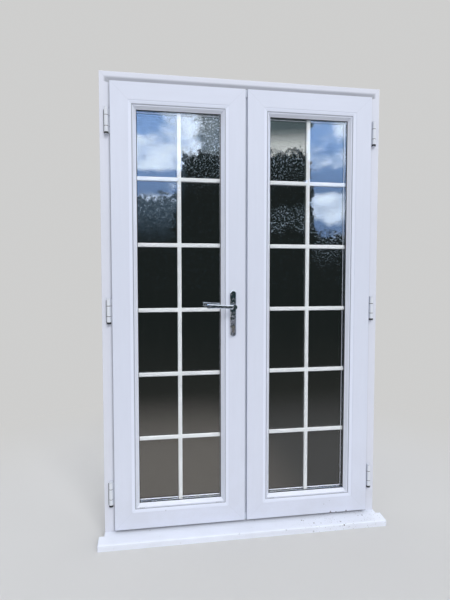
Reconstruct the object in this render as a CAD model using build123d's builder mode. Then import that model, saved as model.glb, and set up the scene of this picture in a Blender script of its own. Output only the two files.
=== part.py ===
"""Outward opening french doors: two glazed leaves in a welded plastic frame on a projecting sill.

Millimetres. X runs to the right seen from outside, Y into the building, Z up. The origin is the middle of
the sill's underside, in the plane of the frame's outer face. The left leaf is the active one.
"""
from build123d import *
import os

os.makedirs("parts", exist_ok=True)

# Doorset
overall_height = 2040.0
frame_width = 1270.0
frame_depth = 70.0
clearance = 0.3          # between pieces that seat on each other
pin_clearance = 0.08     # radial, between pins and their bores
snug = 0.1               # play of pressed-in plates and square holes
sunk = 0.2               # bolt ends and screw heads lie this far below their plate

# Frame profile
frame_leg = 53.0         # width of the leg that the sash laps
frame_upstand = 20.0     # stands further in than the leg, behind the sash
upstand_depth = 16.0
wall = 3.0               # outer walls of every plastic profile
outer_chamber = 11.0
edge_round = 2.0
fixing_inset = 300.0     # first and last wall fixing, from the doorset's ends
fixing_count = 4
fixing_y = 27.0
fixing_radius = 5.0
steel_wall = 1.5         # of every steel tube and channel

# Sill
sill_seat = 30.0         # height of the face that the frame stands on
sill_projection = 93.0
sill_nose = 24.0         # height of the upright nose face
sill_step = 5.0          # the top stands this far above the seat, in front of the frame
sill_fall = 7.5          # the top drops this much towards the nose
nose_slope = 4.0         # depth of the steeper strip above the nose
sill_horn = 20.0         # runs past the frame at each end
horn_depth = 62.0        # from the nose back, where the wall's face begins
sill_cap = 3.0
sill_wall = 2.6
sill_web = 26.0          # solid length of the section around its front chamber
drip_width = 5.0
drip_depth = 4.0
drip_setback = 12.0

# Threshold
threshold_wall = 2.5

# Sash profile, measured inwards from the flange's outer edge
sash_overlap = 8.0       # flange over the frame leg
flange = 20.0            # flange edge to sash body
flange_depth = 15.0
seal_gap = 3.0           # frame face to flange
sash_back = 50.0         # inner face of the sash
flat_face = 74.0         # flange edge to moulding
face_step = 1.2
moulding_width = 18.0
moulding_drop = 5.5
bead_width = 16.0        # moulding to sightline
bead_gap = 1.6           # open groove between moulding and bead
bead_groove = 5.0        # its depth, down to the bead's clipped foot
edge_chamber = 5.0       # width of the chamber along the body's edge
back_chamber = 9.0       # depth of the chamber behind the steel
platform_lip = 4.0       # chamfer on the inner edge of the glazing platform
drain_width = 4.0
drain_length = 25.0
drain_inset = 120.0
meeting_gap = 10.0
lock_body_edge = 9.0     # body of the active meeting stile, from the middle of the gap

# Glass
pane = 4.0
cavity = 16.0
glass_face = 9.0         # outer face of the outer pane
glass_bite = 10.0        # the panes run this far behind the beads
pane_chamfer = 0.5
spacer_height = 8.0
gasket = 3.0
bar_width = 18.0
bar_depth = 8.0
bar_bevel = 2.5
bar_rows = 5
packer_length = 90.0
packer_inset = 180.0     # from the leaf's edges to the middle of a packer
bead_saw = 0.3           # hairline at the mitres

# Hinges
hinge_offset = 23.5      # pin axis outside the frame leg's inner edge
hinge_radius = 9.0
hinge_pin = 4.0
knuckle_end = 28.0
knuckle_middle = 43.0
knuckle_gap = 2.5
hinge_air = 0.5          # knuckle to frame face
hinge_leaf = 2.4
hinge_plate_depth = 40.0
hinge_inset = 164.5      # leaf end to the middle of the nearest hinge
hinge_count = 3
hinge_cap = 4.0

# Lock and handles
backset = 52.0           # body edge to spindle
spindle_height = 1035.0
spindle_size = 8.0
cylinder_drop = 92.0     # spindle to cylinder
cylinder_round = 8.5
cylinder_slab = 10.0
cylinder_total = 33.0
plug_radius = 6.5
groove_width = 16.0
groove_depth = 10.0
faceplate = 2.5
faceplate_end = 210.0    # leaf end to faceplate end
rail_thickness = 3.5
rail_width = 14.0
rail_end = 20.0          # faceplate end to rail end
rail_travel = 14.0
lock_plane = 17.0        # depth of the groove's middle
case_thickness = 14.0
case_depth = 64.0
case_above = 45.0        # over the spindle
case_below = 63.0        # under the cylinder
pocket_gap = 0.5
bolt_inset = 400.0       # leaf end to throw bolt
bolt_case_half = 25.0
bolt_radius = 4.5
bolt_length = 38.0
bolt_travel = 18.0
latch_rise = 25.0        # over the spindle
latch_thickness = 8.0
latch_tall = 16.0
latch_length = 38.0
latch_projection = 4.5
deadbolt_rise = 42.0     # over the cylinder
deadbolt_thickness = 8.0
deadbolt_tall = 30.0
deadbolt_length = 40.0
follower_radius = 10.0
cam_radius = 13.0
cam_depth = 8.0
plate_above = 73.0       # spindle to the plate's top
plate_below = 18.5       # cylinder to the plate's bottom
plate_width = 28.0
plate_thickness = 9.0
plate_bevel = 3.0
screw_bite = 3.5         # the handle screws' depth in the outside plate
plate_collar = 2.0
screw_radius = 2.5
top_screw = 9.0          # plate end to fixing screw
bottom_screw = 13.0
lever_standoff = 36.0    # plate face to the lever arm's middle
lever_reach = 122.0
lever_tip = 4.0          # length of its tapered end
lever_bevel = 0.28       # of the arm's depth, cut off each corner of its section
neck_radius = 9.0
spindle_socket = 11.0    # depth of the square hole in a lever's neck

# Meeting mullion, fixed to the passive leaf
mullion_nose = 3.0       # past the middle of the gap
mullion_side = 1.0
mullion_air = 4.0        # to the upstands above and below
nose_depth = 10.7
cover_width = 60.0
cover_thickness = 9.7
cap_reach = 18.0
cap_recess = 10.0        # the caps' fillers lie this far behind the leaves' faces
seal_bulb = 1.4
shoot_radius = 6.0
shoot_length = 180.0
shoot_travel = 20.0
shoot_x = 13.0
shoot_y = 29.0
tab_length = 20.0        # finger tab of a shootbolt
tab_width = 6.0
tab_inset = 30.0         # shootbolt's inner end to the tab
slot_gap = 1.0

# Keeps
keep_thickness = 1.5
keep_length = 44.0
keep_width = 24.0
keep_bore = 2.0          # the shootbolt's pocket is this much wider, as a radius
strike_width = 15.0
strike_end = 18.0        # past the latch and deadbolt
bolt_strike_half = 30.0

# Sizes that follow
half_width = frame_width / 2
rebate_x = half_width - frame_leg
leg_depth = frame_depth - upstand_depth
face_y = -(seal_gap + flange_depth)
sash_x = rebate_x + sash_overlap
sash_top = overall_height - frame_leg + sash_overlap
threshold_top = frame_leg
sash_bottom = threshold_top - sash_overlap
stile_edge = meeting_gap / 2
hinge_x = rebate_x + hinge_offset
hinge_y = -(hinge_radius + hinge_air)
hinge_span = sash_top - sash_bottom - 2 * hinge_inset
hinge_heights = [sash_bottom + hinge_inset + i * hinge_span / (hinge_count - 1) for i in range(hinge_count)]
moulding_end = flat_face + moulding_width
sightline = moulding_end + bead_width
glass_edge = sightline - glass_bite
glass_back = glass_face + 2 * pane + cavity
cylinder_height = spindle_height - cylinder_drop
spindle_x = -(lock_body_edge + backset)
chamber_start = flange + 2 * wall + edge_chamber
chamber_end = moulding_end - wall - face_step
chamber_front = -seal_gap
chamber_back = sash_back - 2 * wall - back_chamber
plate_top = spindle_height + plate_above
plate_bottom = cylinder_height - cylinder_total + cylinder_round - plate_below
fixing_screws = (plate_bottom + bottom_screw, plate_top - top_screw)
bolt_heights = (sash_bottom + bolt_inset, sash_top - bolt_inset)
lock_low, lock_high = sash_bottom + faceplate_end, sash_top - faceplate_end
case_bottom, case_top = cylinder_height - case_below, spindle_height + case_above
latch_height = spindle_height + latch_rise
deadbolt_height = cylinder_height + deadbolt_rise
body_bottom = sash_bottom + flange
body_top = sash_top - flange
mullion_bottom = frame_leg + frame_upstand + mullion_air
mullion_top = overall_height - mullion_bottom
hinge_height = 2 * knuckle_end + 2 * knuckle_gap + knuckle_middle


def keep(part, name):
    """Label a finished piece and write it."""
    part.label = name
    export_step(part, f"parts/{name}.step")


def block(x0, x1, y0, y1, z0, z1):
    """A plain block between two corners, for pockets and flat bars."""
    with BuildPart() as solid:
        with BuildSketch(Plane.XY.offset(z0)):
            with Locations(((x0 + x1) / 2, (y0 + y1) / 2)):
                Rectangle(abs(x1 - x0), abs(y1 - y0))
        extrude(amount=z1 - z0)
    return solid.part


def rod(x, z, radius, y0, y1):
    """A round bar or hole along Y."""
    with BuildPart() as solid:
        with BuildSketch(Plane.XZ.offset(-y1)):
            with Locations((x, z)):
                Circle(radius)
        extrude(amount=y1 - y0)
    return solid.part


def cross_rod(y, z, radius, x0, x1):
    """A round bar or hole along X."""
    with BuildPart() as solid:
        with BuildSketch(Plane.YZ.offset(x0)):
            with Locations((y, z)):
                Circle(radius)
        extrude(amount=x1 - x0)
    return solid.part


def welded_ring(profile, x0, x1, z0, z1):
    """Four lengths of one profile, cut at 45 degrees and welded into a rectangle.

    The profile's first axis points inwards from the rectangle, its second into the building.
    """
    middle = (z0 + z1) / 2
    with BuildPart() as ring:
        with BuildLine(Plane.XZ) as path:
            Polyline((x0, middle), (x0, z1), (x1, z1), (x1, z0), (x0, z0), (x0, middle))
        with BuildSketch(Plane(origin=(x0, 0, middle), x_dir=(1, 0, 0), z_dir=(0, 0, 1))):
            add(profile)
        sweep(path=path.line, transition=Transition.RIGHT)
    return ring.part


def welded_arch(profile, x0, x1, z0, z1):
    """Two uprights and a head of one profile, mitred at the top corners and open at the bottom."""
    with BuildPart() as arch:
        with BuildLine(Plane.XZ) as path:
            Polyline((x0, z0), (x0, z1), (x1, z1), (x1, z0))
        with BuildSketch(Plane(origin=(x0, 0, z0), x_dir=(1, 0, 0), z_dir=(0, 0, 1))):
            add(profile)
        sweep(path=path.line, transition=Transition.RIGHT)
    return arch.part


def strip_profile(u0, u1, v0, v1):
    """A plain rectangle in the profile plane, for chambers, seals and spacers."""
    with BuildSketch() as profile:
        with Locations(((u0 + u1) / 2, (v0 + v1) / 2)):
            Rectangle(u1 - u0, v1 - v0)
    return profile.sketch


def frame_profile():
    """The outer frame's section: a leg that the sash laps and an upstand behind the sash."""
    upstand_end = frame_leg + frame_upstand
    with BuildSketch() as profile:
        with BuildLine():
            Polyline((0, 0), (frame_leg, 0), (frame_leg, leg_depth), (upstand_end, leg_depth),
                     (upstand_end, frame_depth), (0, frame_depth), close=True)
        make_face()
        for corner in ((0, 0), (frame_leg, 0), (upstand_end, leg_depth), (upstand_end, frame_depth)):
            fillet(profile.vertices().sort_by_distance(corner)[0], radius=edge_round)
        inner_chamber = 2 * wall + outer_chamber
        add(strip_profile(wall, wall + outer_chamber, wall, frame_depth - wall), mode=Mode.SUBTRACT)
        add(strip_profile(inner_chamber, frame_leg - wall, wall, leg_depth - wall), mode=Mode.SUBTRACT)
        add(strip_profile(inner_chamber, upstand_end - wall, leg_depth + wall, frame_depth - wall),
            mode=Mode.SUBTRACT)
    return profile.sketch


def sash_profile():
    """The sash's section: lapping flange, flat face, stepped moulding, glazing rebate and chambers."""
    step_y = face_y + face_step
    slope_y = face_y + moulding_drop
    with BuildSketch() as profile:
        with BuildLine():
            Polyline((flat_face, step_y), (flat_face, face_y), (0, face_y), (0, -seal_gap),
                     (flange, -seal_gap), (flange, sash_back), (sightline - platform_lip, sash_back),
                     (sightline, sash_back - platform_lip), (sightline, glass_back + gasket),
                     (moulding_end, glass_back + gasket), (moulding_end, slope_y))
            ThreePointArc((flat_face, step_y), ((flat_face + moulding_end) / 2 + 1, step_y + 1.2),
                          (moulding_end, slope_y))
        make_face()
        for corner in ((0, face_y), (0, -seal_gap), (flange, sash_back)):
            fillet(profile.vertices().sort_by_distance(corner)[0], radius=edge_round)
        front, front_back = face_y + wall, chamber_front - wall
        back = sash_back - wall
        for u0, u1, v0, v1 in ((wall, chamber_start - wall, front, front_back),
                               (chamber_start, flat_face - wall, front, front_back),
                               (flange + wall, chamber_start - wall, chamber_front, back),
                               (chamber_start, chamber_end, chamber_front, chamber_back),
                               (chamber_start, chamber_end, chamber_back + wall, back),
                               (chamber_end + wall, sightline - platform_lip, glass_back + gasket + wall,
                                back)):
            add(strip_profile(u0, u1, v0, v1), mode=Mode.SUBTRACT)
    return profile.sketch


def bead_profile():
    """The external glazing bead: a quarter hollow from the moulding down to the glass."""
    start, foot_start = moulding_end + bead_gap, moulding_end + snug
    front = face_y + moulding_drop + pane_chamfer
    foot = glass_face - gasket
    nose, flat = 2.0, 3.0
    depth = foot - nose - front
    with BuildSketch() as profile:
        with BuildLine():
            Polyline((sightline, foot - nose), (sightline, foot), (foot_start, foot),
                     (foot_start, front + bead_groove), (start, front + bead_groove), (start, front),
                     (start + flat, front))
            ThreePointArc((start + flat, front), ((start + sightline) / 2, front + 0.41 * depth),
                          (sightline, foot - nose))
        make_face()
    return profile.sketch


def reinforcement_tube(x0, x1, z0, z1, along):
    """One length of square steel tube, hollow along X or Z."""
    y0, y1 = chamber_front + clearance, chamber_back - clearance
    if along == "z":
        hollow = (x0 + steel_wall, x1 - steel_wall, y0 + steel_wall, y1 - steel_wall, z0, z1)
    else:
        hollow = (x0, x1, y0 + steel_wall, y1 - steel_wall, z0 + steel_wall, z1 - steel_wall)
    outer, inner = block(x0, x1, y0, y1, z0, z1), block(*hollow)
    with BuildPart() as tube:
        add(outer)
        add(inner, mode=Mode.SUBTRACT)
    return tube.part


# Sill: one hollow extrusion with a sloped top, notched behind its horns, and a moulded cap on each end
def sill_outline():
    """The sill's section: first axis into the building, second upwards."""
    top = sill_seat + sill_step
    with BuildSketch() as outline:
        with BuildLine():
            Polyline((-sill_projection, 0), (-sill_projection, sill_nose),
                     (-sill_projection + nose_slope, top - sill_fall), (-wall, top), (-clearance, top),
                     (-clearance, sill_seat), (frame_depth, sill_seat), (frame_depth, 0), close=True)
        make_face()
        fillet(outline.vertices().sort_by_distance((-sill_projection, sill_nose))[0], radius=edge_round)
    return outline.sketch


sill_half = half_width + sill_horn
sill_face = sill_outline()
horn_notches = [block(side * half_width, side * (sill_half + sill_cap + 1), horn_depth - sill_projection,
                      frame_depth + 1, -1, sill_seat + sill_step + 1) for side in (-1, 1)]
with BuildPart() as sill:
    with BuildSketch(Plane.YZ.offset(-sill_half)):
        add(sill_face)
    extrude(amount=2 * sill_half, dir=(1, 0, 0))
    with BuildSketch(Plane.YZ.offset(-sill_half)):
        with Locations((-sill_projection / 2 - 2 * sill_wall, (sill_nose + drip_depth) / 2)):
            Rectangle(sill_projection - sill_web, sill_nose - drip_depth - 2 * sill_wall)
        with Locations((frame_depth / 2, sill_seat / 2)):
            Rectangle(frame_depth - 4 * sill_wall, sill_seat - 2 * sill_wall)
    extrude(amount=2 * sill_half, dir=(1, 0, 0), mode=Mode.SUBTRACT)
    with BuildSketch(Plane.YZ.offset(-sill_half)):
        with Locations((-sill_projection + drip_setback, 0)):
            Rectangle(drip_width, 2 * drip_depth)
    extrude(amount=2 * sill_half, dir=(1, 0, 0), mode=Mode.SUBTRACT)
    for notch in horn_notches:
        add(notch, mode=Mode.SUBTRACT)
keep(sill.part, "sill")

with BuildPart() as sill_end_caps:
    for side in (-1, 1):
        start_x = sill_half if side > 0 else -sill_half - sill_cap
        with BuildSketch(Plane.YZ.offset(start_x)):
            add(sill_face)
        extrude(amount=sill_cap, dir=(1, 0, 0))
    for notch in horn_notches:
        add(notch, mode=Mode.SUBTRACT)
    outer_edges = sill_end_caps.faces().filter_by(Axis.X).sort_by(Axis.X)
    chamfer(outer_edges[0].edges() + outer_edges[-1].edges(), length=1.0)
keep(sill_end_caps.part, "sill_end_caps")

# Outer frame: jambs and head welded at the top corners, drilled for the wall fixings and the top shootbolt
fixing_pitch = (overall_height - 2 * fixing_inset) / (fixing_count - 1)
fixing_heights = [fixing_inset + i * fixing_pitch for i in range(fixing_count)]
frame_section = frame_profile()
frame_arch = welded_arch(frame_section, -half_width, half_width, sill_seat, overall_height)
fixing_holes = [cross_rod(fixing_y, z, fixing_radius, side * (half_width - frame_leg / 2) - frame_leg,
                          side * (half_width - frame_leg / 2) + frame_leg)
                for side in (-1, 1) for z in fixing_heights]


def shoot_hole(z0, z1, extra):
    """The hole that a shootbolt runs in."""
    with BuildPart() as hole:
        with BuildSketch(Plane.XY.offset(z0)):
            with Locations((shoot_x, shoot_y)):
                Circle(shoot_radius + extra)
        extrude(amount=z1 - z0)
    return hole.part


def keep_recess(z0, z1):
    """The shallow pocket that a shootbolt's keep lies in."""
    return block(shoot_x - keep_length / 2, shoot_x + keep_length / 2, shoot_y - keep_width / 2,
                 shoot_y + keep_width / 2, z0, z1)


head_under = overall_height - frame_leg
head_pocket = shoot_hole(head_under - 1, head_under + frame_leg / 2, keep_bore)
head_recess = keep_recess(head_under - 1, head_under + keep_thickness)
with BuildPart() as outer_frame:
    add(frame_arch)
    for hole in fixing_holes:
        add(hole, mode=Mode.SUBTRACT)
    add(head_pocket, mode=Mode.SUBTRACT)
    add(head_recess, mode=Mode.SUBTRACT)
keep(outer_frame.part, "outer_frame")

# Steel channels in the frame's main chamber, open towards the outer one
channel_u0, channel_u1 = 2 * wall + outer_chamber + clearance, frame_leg - wall - clearance
channel_v0, channel_v1 = wall + clearance, leg_depth - wall - clearance
channel_solid = strip_profile(channel_u0, channel_u1, channel_v0, channel_v1)
channel_inside = strip_profile(channel_u0 - 1, channel_u1 - steel_wall, channel_v0 + steel_wall,
                               channel_v1 - steel_wall)
with BuildSketch() as channel_section:
    add(channel_solid)
    add(channel_inside, mode=Mode.SUBTRACT)
frame_channels = welded_arch(channel_section.sketch, -half_width, half_width, sill_seat + wall,
                             overall_height)
weld_room = 6.0
corner_cuts = [block(side * (rebate_x - weld_room), side * (half_width + 1), 0, leg_depth,
                     head_under - weld_room, overall_height) for side in (-1, 1)]
with BuildPart() as frame_reinforcement:
    add(frame_channels)
    for cut in corner_cuts + fixing_holes + [head_pocket]:
        add(cut, mode=Mode.SUBTRACT)
keep(frame_reinforcement.part, "frame_reinforcement")

# Threshold: low aluminium section between the jambs, notched round their upstands
leg_block = block(-rebate_x + clearance, rebate_x - clearance, clearance, leg_depth, sill_seat, threshold_top)
upstand_x = rebate_x - frame_upstand - clearance
upstand_block = block(-upstand_x, upstand_x, leg_depth, frame_depth, sill_seat, threshold_top + frame_upstand)
chamber_block = block(-rebate_x - 1, rebate_x + 1, 2 * threshold_wall, leg_depth - threshold_wall,
                      sill_seat + threshold_wall, threshold_top - threshold_wall)
upstand_chamber = block(-rebate_x - 1, rebate_x + 1, leg_depth + threshold_wall, frame_depth - threshold_wall,
                        sill_seat + threshold_wall, threshold_top + frame_upstand - threshold_wall)
threshold_pocket = shoot_hole(threshold_top - shoot_travel, threshold_top + 1, keep_bore)
threshold_recess = keep_recess(threshold_top - keep_thickness, threshold_top + 1)
with BuildPart() as threshold:
    add(leg_block)
    add(upstand_block)
    top_front = threshold.edges().filter_by(Axis.X).group_by(Axis.Y)[0].sort_by(Axis.Z)[-1]
    fillet(top_front, radius=edge_round)
    for cut in (chamber_block, upstand_chamber, threshold_pocket, threshold_recess):
        add(cut, mode=Mode.SUBTRACT)
keep(threshold.part, "threshold")


def shootbolt_keep(z0):
    """A pressed plate with rounded ends and the shootbolt's hole, in the XY plane."""
    with BuildPart() as plate:
        with BuildSketch(Plane.XY.offset(z0)):
            with Locations((shoot_x, shoot_y)):
                RectangleRounded(keep_length - 2 * clearance, keep_width - 2 * clearance, 2 * edge_round)
                Circle(shoot_radius + keep_bore / 2, mode=Mode.SUBTRACT)
        extrude(amount=keep_thickness - snug)
    return plate.part


keep(shootbolt_keep(head_under + snug / 2), "head_keep")
keep(shootbolt_keep(threshold_top - keep_thickness + snug / 2), "threshold_keep")

# Rebate gasket on the upstand, behind both leaves
seal_width = 6.0
seal_edge = frame_leg + frame_upstand - edge_round - 1
seal_section = strip_profile(seal_edge - seal_width, seal_edge, sash_back + clearance, leg_depth)
keep(welded_ring(seal_section, -half_width, half_width, 0, overall_height), "frame_seal")


# Hinges: three a side, in the corner between the frame's face and the sash's edge
def knuckle(side, z0, length):
    """One round knuckle, bored for the pin."""
    with BuildPart() as barrel:
        with BuildSketch(Plane.XY.offset(z0)):
            with Locations((side * hinge_x, hinge_y)):
                Circle(hinge_radius)
                Circle(hinge_pin + pin_clearance, mode=Mode.SUBTRACT)
        extrude(amount=length)
    return barrel.part


tab_front = -seal_gap + clearance
tab_back = tab_front + hinge_leaf
frame_plate_x = rebate_x - clearance
sash_plate_x = sash_x - flange + clearance
knuckle_spans = ((0, knuckle_end), (knuckle_end + knuckle_gap + knuckle_middle + knuckle_gap, knuckle_end))


def bored_tab(side, x_end, z0, length):
    """The flat tab from a knuckle to the rebate, clear of the pin."""
    return block(side * hinge_x, side * x_end, tab_front, tab_back, z0, z0 + length)


def frame_hinge(side, centre):
    """The frame's half: outer knuckles, their tabs and the plate on the rebate face."""
    base = centre - hinge_height / 2
    pieces = []
    for start, length in knuckle_spans:
        pieces += [knuckle(side, base + start, length),
                   bored_tab(side, frame_plate_x - hinge_leaf, base + start, length),
                   block(side * frame_plate_x, side * (frame_plate_x - hinge_leaf), tab_front,
                         hinge_plate_depth, base + start, base + start + length)]
    pieces.append(block(side * frame_plate_x, side * (frame_plate_x - hinge_leaf), tab_back + hinge_leaf,
                        hinge_plate_depth, base, base + hinge_height))
    return pieces


def sash_hinge(side, centre):
    """The sash's half: middle knuckle, tab and the plate on the sash's edge."""
    base = centre - hinge_height / 2
    start = base + knuckle_end + knuckle_gap
    return [knuckle(side, start, knuckle_middle),
            bored_tab(side, sash_plate_x, start, knuckle_middle),
            block(side * (sash_plate_x + hinge_leaf), side * sash_plate_x, tab_front,
                  tab_back + 2 * hinge_leaf, start, start + knuckle_middle),
            block(side * (sash_plate_x + hinge_leaf), side * sash_plate_x, tab_back + hinge_leaf,
                  hinge_plate_depth, base, base + hinge_height)]


def hinge_pin_solid(side, centre):
    """One pin with a cap at each end."""
    base = centre - hinge_height / 2
    with BuildPart() as pin:
        with BuildSketch(Plane.XY.offset(base - clearance)):
            with Locations((side * hinge_x, hinge_y)):
                Circle(hinge_pin)
        extrude(amount=hinge_height + 2 * clearance)
        for start in (base - clearance - hinge_cap, base + hinge_height + clearance):
            with BuildSketch(Plane.XY.offset(start)):
                with Locations((side * hinge_x, hinge_y)):
                    Circle(hinge_radius - hinge_air)
            extrude(amount=hinge_cap)
    return pin.part


for side, name in ((-1, "left"), (1, "right")):
    halves = [frame_hinge(side, z) for z in hinge_heights]
    pins = [hinge_pin_solid(side, z) for z in hinge_heights]
    with BuildPart() as frame_leaves:
        for half in halves:
            for piece in half:
                add(piece)
    keep(frame_leaves.part, f"{name}_hinge_frame_leaves")
    with BuildPart() as hinge_pins:
        for pin in pins:
            add(pin)
    keep(hinge_pins.part, f"{name}_hinge_pins")


# Pieces that both leaves have, built between the leaf's two edges
def glass_pane(x0, x1, y0):
    """One pane of the sealed unit, with its edges ground."""
    pane_x0, pane_x1 = x0 + glass_edge, x1 - glass_edge
    solid = block(pane_x0, pane_x1, y0, y0 + pane, sash_bottom + glass_edge, sash_top - glass_edge)
    with BuildPart() as glass:
        add(solid)
        chamfer(glass.faces().filter_by(Axis.Y).edges(), length=pane_chamfer)
    return glass.part


def georgian_bars(x0, x1):
    """One upright and five cross bars with bevelled edges, joined where they cross."""
    middle_y = glass_face + pane + cavity / 2
    inset = glass_edge + spacer_height + clearance
    low, high = sash_bottom + inset, sash_top - inset
    left, right = x0 + inset, x1 - inset
    with BuildSketch() as bar_section:
        Rectangle(bar_width, bar_depth)
        chamfer(bar_section.vertices(), length=bar_bevel)
    with BuildPart() as bars:
        with BuildSketch(Plane(origin=((x0 + x1) / 2, middle_y, low), x_dir=(1, 0, 0), z_dir=(0, 0, 1))):
            add(bar_section.sketch)
        extrude(amount=high - low)
        sight_low, sight_high = sash_bottom + sightline, sash_top - sightline
        pitch = (sight_high - sight_low) / (bar_rows + 1)
        for row in range(1, bar_rows + 1):
            with BuildSketch(Plane(origin=(left, middle_y, sight_low + row * pitch), x_dir=(0, 0, 1),
                                   z_dir=(1, 0, 0))):
                add(bar_section.sketch)
            extrude(amount=right - left)
    return bars.part


def bead_set(x0, x1):
    """Four beads, mitred with a hairline between them."""
    ring = welded_ring(bead_profile(), x0, x1, sash_bottom, sash_top)
    reach = 2 * sightline
    with BuildPart() as beads:
        add(ring)
        for x, z, slope in ((x0, sash_bottom, -45), (x1, sash_bottom, 45), (x0, sash_top, 45),
                            (x1, sash_top, -45)):
            with BuildSketch(Plane.XZ.offset(-glass_face)):
                with Locations(Location((x, z, 0), (0, 0, -slope))):
                    Rectangle(2 * reach, bead_saw)
            extrude(amount=glass_face - face_y, mode=Mode.SUBTRACT)
    return beads.part


def gasket_set(x0, x1, hinge_side):
    """Glazing gaskets either side of the glass, and the weather seal behind the flange, notched at hinges."""
    outer = welded_ring(strip_profile(sightline - glass_bite / 2, sightline + 2, glass_face - gasket + snug,
                                      glass_face - snug), x0, x1, sash_bottom, sash_top)
    inner = welded_ring(strip_profile(glass_edge + 2, sightline + 1, glass_back + snug,
                                      glass_back + gasket - snug), x0, x1, sash_bottom, sash_top)
    lip_end = 7.0
    lip = welded_ring(strip_profile(2, lip_end, -seal_gap, -clearance), x0, x1, sash_bottom, sash_top)
    gap_x = x1 if hinge_side < 0 else x0
    cuts = [block(gap_x - flange, gap_x + flange, face_y, frame_depth, sash_bottom + lip_end,
                  sash_top - lip_end)]
    outer_x = x0 if hinge_side < 0 else x1
    for z in hinge_heights:
        cuts.append(block(outer_x - flange, outer_x + flange, face_y, frame_depth, z - hinge_height / 2 - 2,
                          z + hinge_height / 2 + 2))
    with BuildPart() as seal:
        add(lip)
        for cut in cuts:
            add(cut, mode=Mode.SUBTRACT)
    with BuildPart() as gaskets:
        add(outer)
        add(inner)
        add(seal.part)
    return gaskets.part


def packer_set(x0, x1):
    """Glazing packers between the unit and the platform: two below, one above and one each side."""
    y0, y1 = glass_face + 1, glass_back - 1
    thick = glass_edge - moulding_end - 2 * clearance
    start = moulding_end + clearance
    pieces = []
    for x in (x0 + packer_inset, x1 - packer_inset):
        pieces.append(block(x - packer_length / 2, x + packer_length / 2, y0, y1,
                            sash_bottom + start, sash_bottom + start + thick))
        pieces.append(block(x - packer_length / 2, x + packer_length / 2, y0, y1,
                            sash_top - start - thick, sash_top - start))
    for z in (sash_bottom + packer_inset, sash_top - packer_inset):
        for x in (x0 + start, x1 - start - thick):
            pieces.append(block(x, x + thick, y0, y1, z - packer_length / 2, z + packer_length / 2))
    with BuildPart() as packers:
        for piece in pieces:
            add(piece)
    return packers.part


def reinforcement_set(x0, x1, left_spans, right_spans):
    """Steel tubes in the sash chambers: two rails, and each stile in the given lengths."""
    near, far = chamber_start + clearance, chamber_end - clearance
    pieces = [reinforcement_tube(x0 + near, x1 - near, z0, z1, "x")
              for z0, z1 in ((sash_bottom + near, sash_bottom + far), (sash_top - far, sash_top - near))]
    for z0, z1 in left_spans:
        pieces.append(reinforcement_tube(x0 + near, x0 + far, z0, z1, "z"))
    for z0, z1 in right_spans:
        pieces.append(reinforcement_tube(x1 - far, x1 - near, z0, z1, "z"))
    with BuildPart() as tubes:
        for piece in pieces:
            add(piece)
    return tubes.part


def common_leaf_pieces(prefix, x0, x1, hinge_side):
    """Write the pieces that do not differ between the two leaves."""
    keep(bead_set(x0, x1), f"{prefix}_glazing_beads")
    keep(glass_pane(x0, x1, glass_face), f"{prefix}_outer_pane")
    keep(glass_pane(x0, x1, glass_face + pane + cavity), f"{prefix}_inner_pane")
    spacer_section = strip_profile(glass_edge, glass_edge + spacer_height, glass_face + pane,
                                   glass_face + pane + cavity)
    keep(welded_ring(spacer_section, x0, x1, sash_bottom, sash_top), f"{prefix}_spacer")
    keep(georgian_bars(x0, x1), f"{prefix}_georgian_bars")
    keep(gasket_set(x0, x1, hinge_side), f"{prefix}_gaskets")
    keep(packer_set(x0, x1), f"{prefix}_glazing_packers")
    halves = [sash_hinge(hinge_side, z) for z in hinge_heights]
    with BuildPart() as sash_leaves:
        for half in halves:
            for piece in half:
                add(piece)
    keep(sash_leaves.part, f"{prefix}_hinge_sash_leaves")


common_leaf_pieces("active", -sash_x, -stile_edge, -1)
common_leaf_pieces("passive", stile_edge, sash_x, 1)

sash_section = sash_profile()
full_span = (sash_bottom + sightline + 2, sash_top - sightline - 2)
passive_ring = welded_ring(sash_section, stile_edge, sash_x, sash_bottom, sash_top)


def drain_slots(x0, x1):
    """Two slots that lead rain from the glazing rebate down through the bottom rail's front chambers."""
    return [block(x - drain_length / 2, x + drain_length / 2, chamber_front - wall - 1 - drain_width,
                  chamber_front - wall - 1, sash_bottom - 1, sash_bottom + moulding_end + 1)
            for x in (x0 + drain_inset, x1 - drain_inset)]


passive_drains = drain_slots(stile_edge, sash_x)
with BuildPart() as passive_sash:
    add(passive_ring)
    for cut in passive_drains:
        add(cut, mode=Mode.SUBTRACT)
keep(passive_sash.part, "passive_sash")
keep(reinforcement_set(stile_edge, sash_x, [full_span], [full_span]), "passive_reinforcement")

# Active sash: its meeting stile is wider at the body, with the hardware groove and the lock pockets
groove_back = -(lock_body_edge + groove_depth)
groove_y0, groove_y1 = lock_plane - groove_width / 2, lock_plane + groove_width / 2
plate_x0 = -(lock_body_edge + snug + faceplate)
plate_x1 = plate_x0 + faceplate
rail_x1 = plate_x0 - clearance
rail_x0 = rail_x1 - rail_thickness
case_front = rail_x0 - clearance
case_back = case_front - case_depth
bolt_case_back = case_front - bolt_length - bolt_travel
case_y0, case_y1 = lock_plane - case_thickness / 2, lock_plane + case_thickness / 2
case_boxes = [(case_back, case_bottom, case_top)]
case_boxes += [(bolt_case_back, z - bolt_case_half, z + bolt_case_half) for z in bolt_heights]


def cylinder_solid(y0, y1, extra):
    """The double cylinder's pear shaped bar along Y, grown by a clearance."""
    with BuildPart() as bar:
        with BuildSketch(Plane.XZ.offset(-y1)):
            with Locations((spindle_x, cylinder_height)):
                Circle(cylinder_round + extra)
            slab_height = cylinder_total - cylinder_round
            with Locations((spindle_x, cylinder_height - slab_height / 2)):
                Rectangle(cylinder_slab + 2 * extra, slab_height + 2 * extra)
        extrude(amount=y1 - y0)
    return bar.part


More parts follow.
